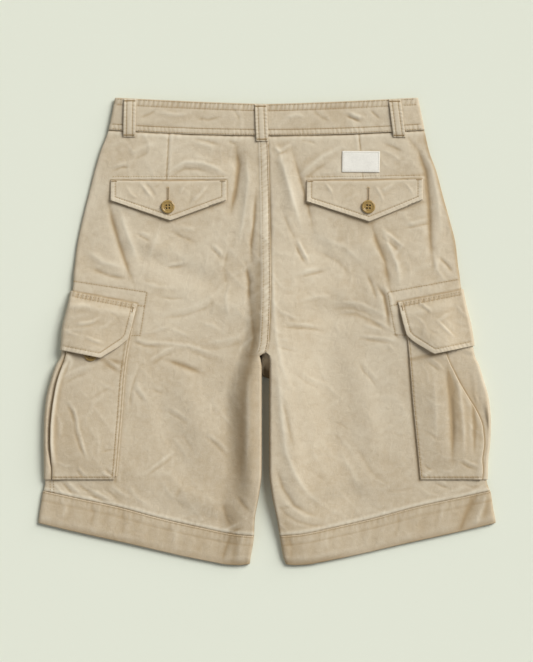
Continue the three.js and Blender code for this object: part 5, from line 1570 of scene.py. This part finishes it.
def seat_flap(side):
    f = SEAT_FLAP[side]
    down, share = spaced(56, 1.25)[:, None], spaced(154, 1.3)[None]
    x = lerp(f["x1"], f["x2"], share) + 0 * down
    _, _, depth = seat_flap_place(side, x, f["y1"])
    y = lerp(f["y1"], f["y2"], share) - down * depth
    surface = seat_flap_surface(side, x, y)
    # a lighter worn edge band with painted shade in its row, and a painted shadow along the sewn top edge
    light = edge_wear_and_row_shade(along_path(seat_flap_outline(side), x, y)[0], 0.18) - 0.9 * smooth(0.05, 0.015, down)
    mid = grid(x, y, surface - FLAP / 2)
    cloth_piece(f"seat_flap_{side}", mid, FLAP, flap_shade_and_wear(surface, light))


def label_place(u, v):
    """From the patch's own coordinates to the plan: it lies a little turned."""
    return LABEL_AT["x"] + u + LABEL_AT["turn"] * v, LABEL_AT["y"] + v - LABEL_AT["turn"] * u * 0.5


def label_surface(x, y):
    return top_height(x, y) + LAID_GAP + LABEL + 0.25 * lattice_noise(x, y, 14, 171)


def label_patch():
    u = np.linspace(-0.5, 0.5, 50)[None] * LABEL_AT["wide"]
    v = np.linspace(0.5, -0.5, 30)[:, None] * LABEL_AT["high"]
    x, y = label_place(u, v)
    from_edge = np.minimum(LABEL_AT["wide"] / 2 - np.abs(u), LABEL_AT["high"] / 2 - np.abs(v))
    z = label_surface(x, y) + groove(from_edge, 1.6, 0.7, 0.15) - LABEL / 2
    cloth_piece("label_patch", grid(x, y, z), LABEL, None, cream)


# Stitches: slim threads that dip into the cloth at both ends


def stitch_points():
    """A stitch of unit length and radius along X."""
    rings = [(-0.5, 0.05, -0.9), (-0.32, 0.85, -0.1), (0.0, 1.0, 0.15), (0.32, 0.85, -0.1), (0.5, 0.05, -0.9)]
    angles = np.arange(6) * math.pi / 3
    points = [(x, wide * math.cos(a), wide * math.sin(a) + up) for x, wide, up in rings for a in angles]
    ring = np.arange(24).reshape(4, 6)
    ahead = np.roll(ring, -1, 1)
    return np.array(points), quads(ring, ahead, ahead + 6, ring + 6)


STITCH_POINTS, STITCH_FACES = stitch_points()


def stitches(centres, ends, radius):
    """Points and faces of stitches, from each one's centre and its half as a vector, in mm."""
    centres, ends = np.asarray(centres), np.asarray(ends)
    length = 2 * np.linalg.norm(ends, axis=1, keepdims=True)
    along = 2 * ends / length
    side = unit(np.cross([0, 0, 1.0], along))
    up = np.cross(along, side)
    p = STITCH_POINTS
    points = (
        centres[:, None] + p[None, :, :1] * (length * along)[:, None]
        + radius * (p[None, :, 1:2] * side[:, None] + p[None, :, 2:] * up[:, None])
    )
    faces = STITCH_FACES[None] + len(p) * np.arange(len(centres))[:, None, None]
    return points.reshape(-1, 3), faces.reshape(-1, 4)


def resample(path, pitch):
    """Evenly spaced points along a line, each with its direction."""
    path = np.asarray(path, float)
    far = np.r_[0, np.linalg.norm(np.diff(path, axis=0), axis=1).cumsum()]
    at = np.arange(pitch / 2, far[-1], pitch)
    here, ahead, behind = (
        np.stack([np.interp(at + step, far, path[:, k]) for k in (0, 1)], axis=1) for step in (0, 0.5, -0.5)
    )
    return here, unit(ahead - behind)


def stitch_row(path, surface, keep=None, pitch=PITCH, long=STITCH_LONG, sink=0.05, radius=STITCH_RADIUS):
    """A row of stitches along a line in plan, on a surface."""
    xy, way = resample(path, pitch)
    if keep is not None:
        wanted = keep(xy[:, 0], xy[:, 1])
        xy, way = xy[wanted], way[wanted]
    half = way * long / 2
    low, high = (surface(*(xy + end * half).T) for end in (-1, 1))
    return stitches(np.c_[xy, (low + high) / 2 + sink], np.c_[half, (high - low) / 2], radius)


def joined(name, parts, material=None, slot="twill"):
    """One piece from several sets of points and faces."""
    starts = np.cumsum([0] + [len(points) for points, _ in parts])
    points = np.concatenate([points for points, _ in parts])
    faces = np.concatenate([faces + start for (_, faces), start in zip(parts, starts)])
    piece = add_mesh(name, points, faces, material or tan_thread)
    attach(piece, "root")


def inset_line(path, distance):
    """A line moved sideways, to its left where the distance is above 0, with its corners joined up."""
    path = np.asarray(path, float)
    way = unit(np.diff(path, axis=0))
    left = np.c_[-way[:, 1], way[:, 0]]
    moved = [path[0] + left[0] * distance]
    for i in range(1, len(path) - 1):
        bisector = left[i - 1] + left[i]
        moved.append(path[i] + bisector * 2 * distance / (bisector @ bisector))
    return np.array([*moved, path[-1] + left[-1] * distance])


def bar_tack(x, y, angle, wide, surface, length=7):
    """A bar of close cross stitches."""
    way = np.array([math.cos(angle), math.sin(angle)])
    across = np.array([-way[1], way[0]])
    at = np.arange(-length / 2, length / 2 + 0.01, BAR_PITCH)
    xy = np.array([x, y]) + at[:, None] * way
    half = np.tile(across * wide / 2 + way * 0.2, (len(at), 1))
    return stitches(np.c_[xy, surface(*xy.T) + 0.12], np.c_[half, 0 * at], BAR_RADIUS)


def waist_rows():
    def clear(x, y):
        from_loop = np.min([np.abs(x - (top + low) / 2) for top, low, _ in BELT_LOOPS.values()], axis=0)
        return (from_loop > 10) & (reach(x, y) > 4.5)

    parts = []
    for sign in SIGN.values():
        x = np.linspace(CENTRE_BACK_X + sign * 2, sign * 207, 120)
        for y in (waist_top(x) - 1.7, waist_top(x) - 9.2, waist_seam(x) + 8.4, waist_seam(x) + 1.9):
            parts.append(stitch_row(np.c_[x, y], band_surface, clear))
    joined("waistband_stitches", parts)


def seat_rows():
    y = np.linspace(258, BACK_CROTCH_Y + 2.5, 120)
    paths = [np.c_[inner_line["left"](y) - back, y] for back in FELL["rows"]]
    for side, f in SEAT_FLAP.items():
        paths += PATCH_STITCH[side]
        paths.append([(f["x1"] + 2, f["y1"] + 4.6), (f["x2"] - 2, f["y2"] + 4.6)])
    joined("seat_stitches", [stitch_row(path, seat_surface) for path in paths])


def side_seam_rows():
    """The short piece of stitched side seam that shows between the left pocket and the hem."""
    paths = [[at_pixel(px, 480.5), at_pixel(px + 0.5, 493)] for px in (50.0, 53.5)]
    joined("side_seam_stitches", [stitch_row(path, seat_surface) for path in paths])


def hem_rows():
    parts = []
    for sign in SIGN.values():
        x = np.linspace(sign * 26, sign * 297, 130)
        path = np.c_[x, hem_seam(np.abs(x)) - HEM_ROW]
        parts.append(stitch_row(path, hem_surface, pitch=2.5, long=1.9, radius=0.4))
    joined("hem_stitches", parts)


def seat_flap_rows(side):
    top, f = partial(seat_flap_surface, side), SEAT_FLAP[side]
    tacks = [(f["x1"] + 5, f["y1"] - 1.5), (f["x2"] - 5, f["y2"] - 1.5)]
    row = stitch_row(inset_line(seat_flap_outline(side), FLAP_STITCH_IN), top)
    return [row] + [bar_tack(x, y, 0, 1.5, top) for x, y in tacks]


def cargo_flap_rows(side):
    top, sign = partial(cargo_flap_surface, side), SIGN[side]

    def shows(x, y):
        return reach(x, y) > 6

    def shows_below(x, y):
        return (below_flap(side, x, y) > 2) & (np.abs(x) < 285) & shows(x, y)

    parts = [stitch_row(inset_line(cargo_outline(side), FLAP_STITCH_IN * sign), top, shows_below)]
    for down in FLAP_ROWS:
        parts.append(stitch_row([cargo_place(side, along, down) for along in (2.5, 110)], top, shows))
    angle = math.atan2(CARGO_FLAP[side]["slope"], sign) + math.pi / 2
    return parts + [bar_tack(*cargo_place(side, 4.5, 9), angle, 1.6, top)]


def flap_rows():
    joined("flap_stitches", [part for side in SIGN for part in seat_flap_rows(side) + cargo_flap_rows(side)])


def pocket_rows():
    parts = []
    for side, sign in SIGN.items():
        top, inner = partial(pocket_face_top, side), pocket_inner[side]
        y = np.linspace(-40, POCKET_BOTTOM_Y + 3, 90)
        parts.append(stitch_row(np.c_[inner(y) + sign * STITCH_IN[side], y], top))
        low = POCKET_BOTTOM_Y + LOW_ROW_UP
        parts.append(stitch_row([(inner(low) + sign * 4, low), (sign * 281, low)], top))
    joined("pocket_stitches", parts)


def loop_rows():
    """Two rows on each back loop, with a bar of close stitches at both ends."""
    parts = []
    for name in BELT_LOOPS:
        length = loop_centre(name, np.array([0.5]))[3]
        share, half = np.arange(PITCH / 2 + 3, length - 3, PITCH) / length, STITCH_LONG / 2 / length
        for across in (-LOOP_WIDE / 2 + LOOP_ROW_IN, LOOP_WIDE / 2 - LOOP_ROW_IN):
            a, b = (np.c_[loop_surface(name, across, share + way * half)] for way in (-1, 1))
            parts.append(stitches((a + b) / 2 + [0, 0, 0.05], (b - a) / 2, STITCH_RADIUS))
        across = np.arange(-LOOP_WIDE / 2 + 1.2, LOOP_WIDE / 2 - 1.1, BAR_PITCH)
        for share in (BAR_IN / length, 1 - BAR_IN / length):
            centres = np.c_[loop_surface(name, across, np.full(len(across), share))] + [0, 0, 0.12]
            parts.append(stitches(centres, np.tile([0.2, 1.1, 0], (len(across), 1)), BAR_RADIUS))
    joined("loop_stitches", parts)


def label_rows():
    half_x, half_y = LABEL_AT["wide"] / 2 - 1.6, LABEL_AT["high"] / 2 - 1.6
    corners = [(-half_x, half_y), (-half_x, -half_y), (half_x, -half_y), (half_x, half_y), (-half_x, half_y)]
    path = [label_place(u, v) for u, v in corners]
    row = stitch_row(path, label_surface, pitch=2.6, long=2.0, sink=0.0, radius=0.3)
    joined("label_stitches", [row], cream_thread, "patch")


# Buttonholes and buttons


def buttonhole(side):
    """A keyhole buttonhole above each seat button: close stitches round a slit."""
    x0, y0 = BUTTON_AT[f"seat_button_{side}"]
    low, high, eye = y0 + 5, y0 + 26.5, 1.35

    def sewn(x, y, halves, lift=0.16, radius=0.34):
        x = x + 0 * y
        z = seat_flap_surface(side, x, y) + lift
        return stitches(np.c_[x, y, z], np.broadcast_to(halves, (len(y), 3)), radius)

    y = np.arange(low, high - 1.8, 0.9)
    parts = [sewn(x0 + sign * 1.15, y, [sign * 0.75, 0.2, 0], radius=0.33) for sign in (-1, 1)]
    c, s = (f(np.radians(np.arange(0, 181, 15))) for f in (np.cos, np.sin))
    parts.append(sewn(x0 + eye * c, high - 1.8 + eye * s, np.c_[c * 0.95, s * 0.95, 0 * c]))
    # a dark sheet of painted shadow in the slit
    slit = sewn(x0, np.arange(low, high - 1.5, 1.2), [0, 0.9, 0], 0.02, 0.36)
    joined(f"buttonhole_{side}", parts, hole_thread)
    joined(f"buttonhole_slit_shadow_{side}", [slit], slit_shadow_material)


def button_height(x, y, radius, thick):
    """Upper face of a button: a rounded rim, a dished middle and four holes."""
    r = np.hypot(x, y)
    rim = thick - 0.55 * smooth(radius * 0.86, radius, r) ** 2
    dish = 0.75 * smooth(radius * 0.78, radius * 0.66, r)
    swell = 0.2 * (1 - (r / (radius * 0.66)) ** 2) * (r < radius * 0.66)
    from_hole = np.hypot(np.abs(x) - HOLE_AT, np.abs(y) - HOLE_AT)
    return rim - dish + swell - smooth(HOLE_RADIUS + 0.12, HOLE_RADIUS - 0.18, from_hole) * (thick - 1.1)


def button(name, at, base, radius, thick, turn, face=1):
    """A sewn button with its face up, or down where face is -1. Gives the threads in its holes."""
    r = np.r_[np.linspace(0.02, 0.56, 34), np.linspace(0.58, 1, 16)][:, None] * radius
    angle = np.linspace(0, 2 * math.pi, 73)[:-1][None]
    px, py = r * np.cos(angle), r * np.sin(angle)
    up = button_height(px, py, radius, thick)
    rings = [grid(px, py, up)]
    for scale, height in BUTTON_BACK:
        edge = radius * scale
        rings.append(grid(np.cos(angle) * edge, np.sin(angle) * edge, height * (thick - 0.55)))
    points = np.concatenate(rings)
    rows, columns = points.shape[:2]
    ids = np.arange(rows * columns).reshape(rows, columns)
    ahead = np.roll(ids, -1, 1)
    faces = quads(ids[:-1], ids[1:], ahead[1:], ahead[:-1]).tolist()
    points = np.vstack([points.reshape(-1, 3), [0, 0, up[0].mean()], [0, 0, 0]])
    for centre, loop in ((rows * columns, ids[0]), (rows * columns + 1, ids[-1, ::-1])):
        faces += [(centre, a, b) for a, b in zip(loop.tolist(), np.roll(loop, -1).tolist())]
    c, s = math.cos(turn), math.sin(turn)
    x, y, z = points.T
    points = np.c_[x * c - y * s, face * (x * s + y * c), face * z] + [*at, base]
    piece = add_mesh(f"{name}_turned", points, faces, horn)
    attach(piece, "root")
    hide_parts(name)
    deep = base + face * (thick - 2.0)
    corners = [(HOLE_AT * sx, HOLE_AT * sy) for sx in (-1, 1) for sy in (-1, 1)]
    centres = [(at[0] + c * u - s * v, at[1] + s * u + c * v, deep) for u, v in corners]
    return stitches(centres, [[-s * 0.8, c * 0.8, 0]] * 4, 0.9)


def all_buttons():
    threads = []
    for name, (x, y) in BUTTON_AT.items():
        kind, _, side = name.split("_")
        here = np.array([x]), np.array([y])
        if kind == "seat":
            down = (SEAT_FLAP[side]["y1"] - y) / SEAT_FLAP[side]["point"]
            under = top_height(*here)[0] + LAID_GAP + FLAP + FLAP_LIFT["seat"] * down**2 + 0.1
        else:
            under = pocket_cover(side, *here)[0]
        turn = BUTTON_TURN.get(name, 0.1)
        threads.append(button(name, (x, y), under + SEAM_GAP, BUTTON_RADIUS, BUTTON_THICK[kind], turn))
    fly = -14, waist_seam(0.0) + 20 - FRONT_DIP
    threads.append(button("fly_button", fly, 1.8, FLY_RADIUS, BUTTON_THICK["fly"], 0.2, -1))
    joined("button_threads", threads, dark_thread, "button")


# Floor, light and camera


def floor():
    bpy.ops.mesh.primitive_plane_add(size=12, location=(0, 0, 0))
    plane = bpy.context.object
    plane.name = "floor"
    material, tree, shader, place = base_material("pale_floor", 0.9)
    stops = ((0.0, (0.736, 0.76, 0.642)), (1.0, (0.746, 0.77, 0.652)))
    tree.links.new(ramp(tree, noise(tree, place, 3.0, 3.0), stops), shader.inputs["Base Color"])
    plane.data.materials.append(material)


def sun(azimuth, elevation, energy, angle):
    """Azimuth is counted from +X towards +Y."""
    data = bpy.data.lights.new("studio_light", "SUN")
    data.energy = energy
    data.angle = math.radians(angle)
    light = bpy.data.objects.new("studio_light", data)
    light.rotation_euler = (0, math.radians(90 - elevation), math.radians(azimuth))
    bpy.context.collection.objects.link(light)


def surroundings(strength):
    world = bpy.data.worlds.new("studio")
    world.use_nodes = True
    shader = world.node_tree.nodes["Background"]
    shader.inputs[0].default_value = (1, 1, 1, 1)
    shader.inputs[1].default_value = strength
    bpy.context.scene.world = world


def camera():
    data = bpy.data.cameras.new("camera")
    data.sensor_fit = "VERTICAL"
    data.sensor_width = data.sensor_height = SENSOR
    data.lens = SENSOR * (CAMERA_UP - 0.006) / SEEN_HEIGHT
    seen = bpy.data.objects.new("camera", data)
    # the picture's centre, half a pixel off the tables' origin
    seen.location = (-0.5 * PIXEL * MM, 0.5 * PIXEL * MM, CAMERA_UP)
    bpy.context.collection.objects.link(seen)
    bpy.context.scene.camera = seen


for side in SIGN:
    for build in (
        front_panel, back_panel, hem, waistband, cargo_gusset, cargo_pocket, cargo_flap, seat_flap,
        buttonhole,
    ):
        build(side)
for name in BELT_LOOPS:
    belt_loop(name)
for name in FRONT_LOOPS:
    front_loop(name)
for build in (
    label_patch, all_buttons, waist_rows, seat_rows, side_seam_rows, hem_rows, flap_rows, pocket_rows,
    loop_rows, label_rows,
):
    build()

floor()
sun(40, 42, 2.95, 30)
sun(40, 17, 1.15, 30)
sun(218, 24, 0.6, 80)
for azimuth in (-38, 125):
    sun(azimuth, 42, 0.22, 80)
surroundings(0.1)
camera()
bpy.context.scene.view_settings.view_transform = "Standard"
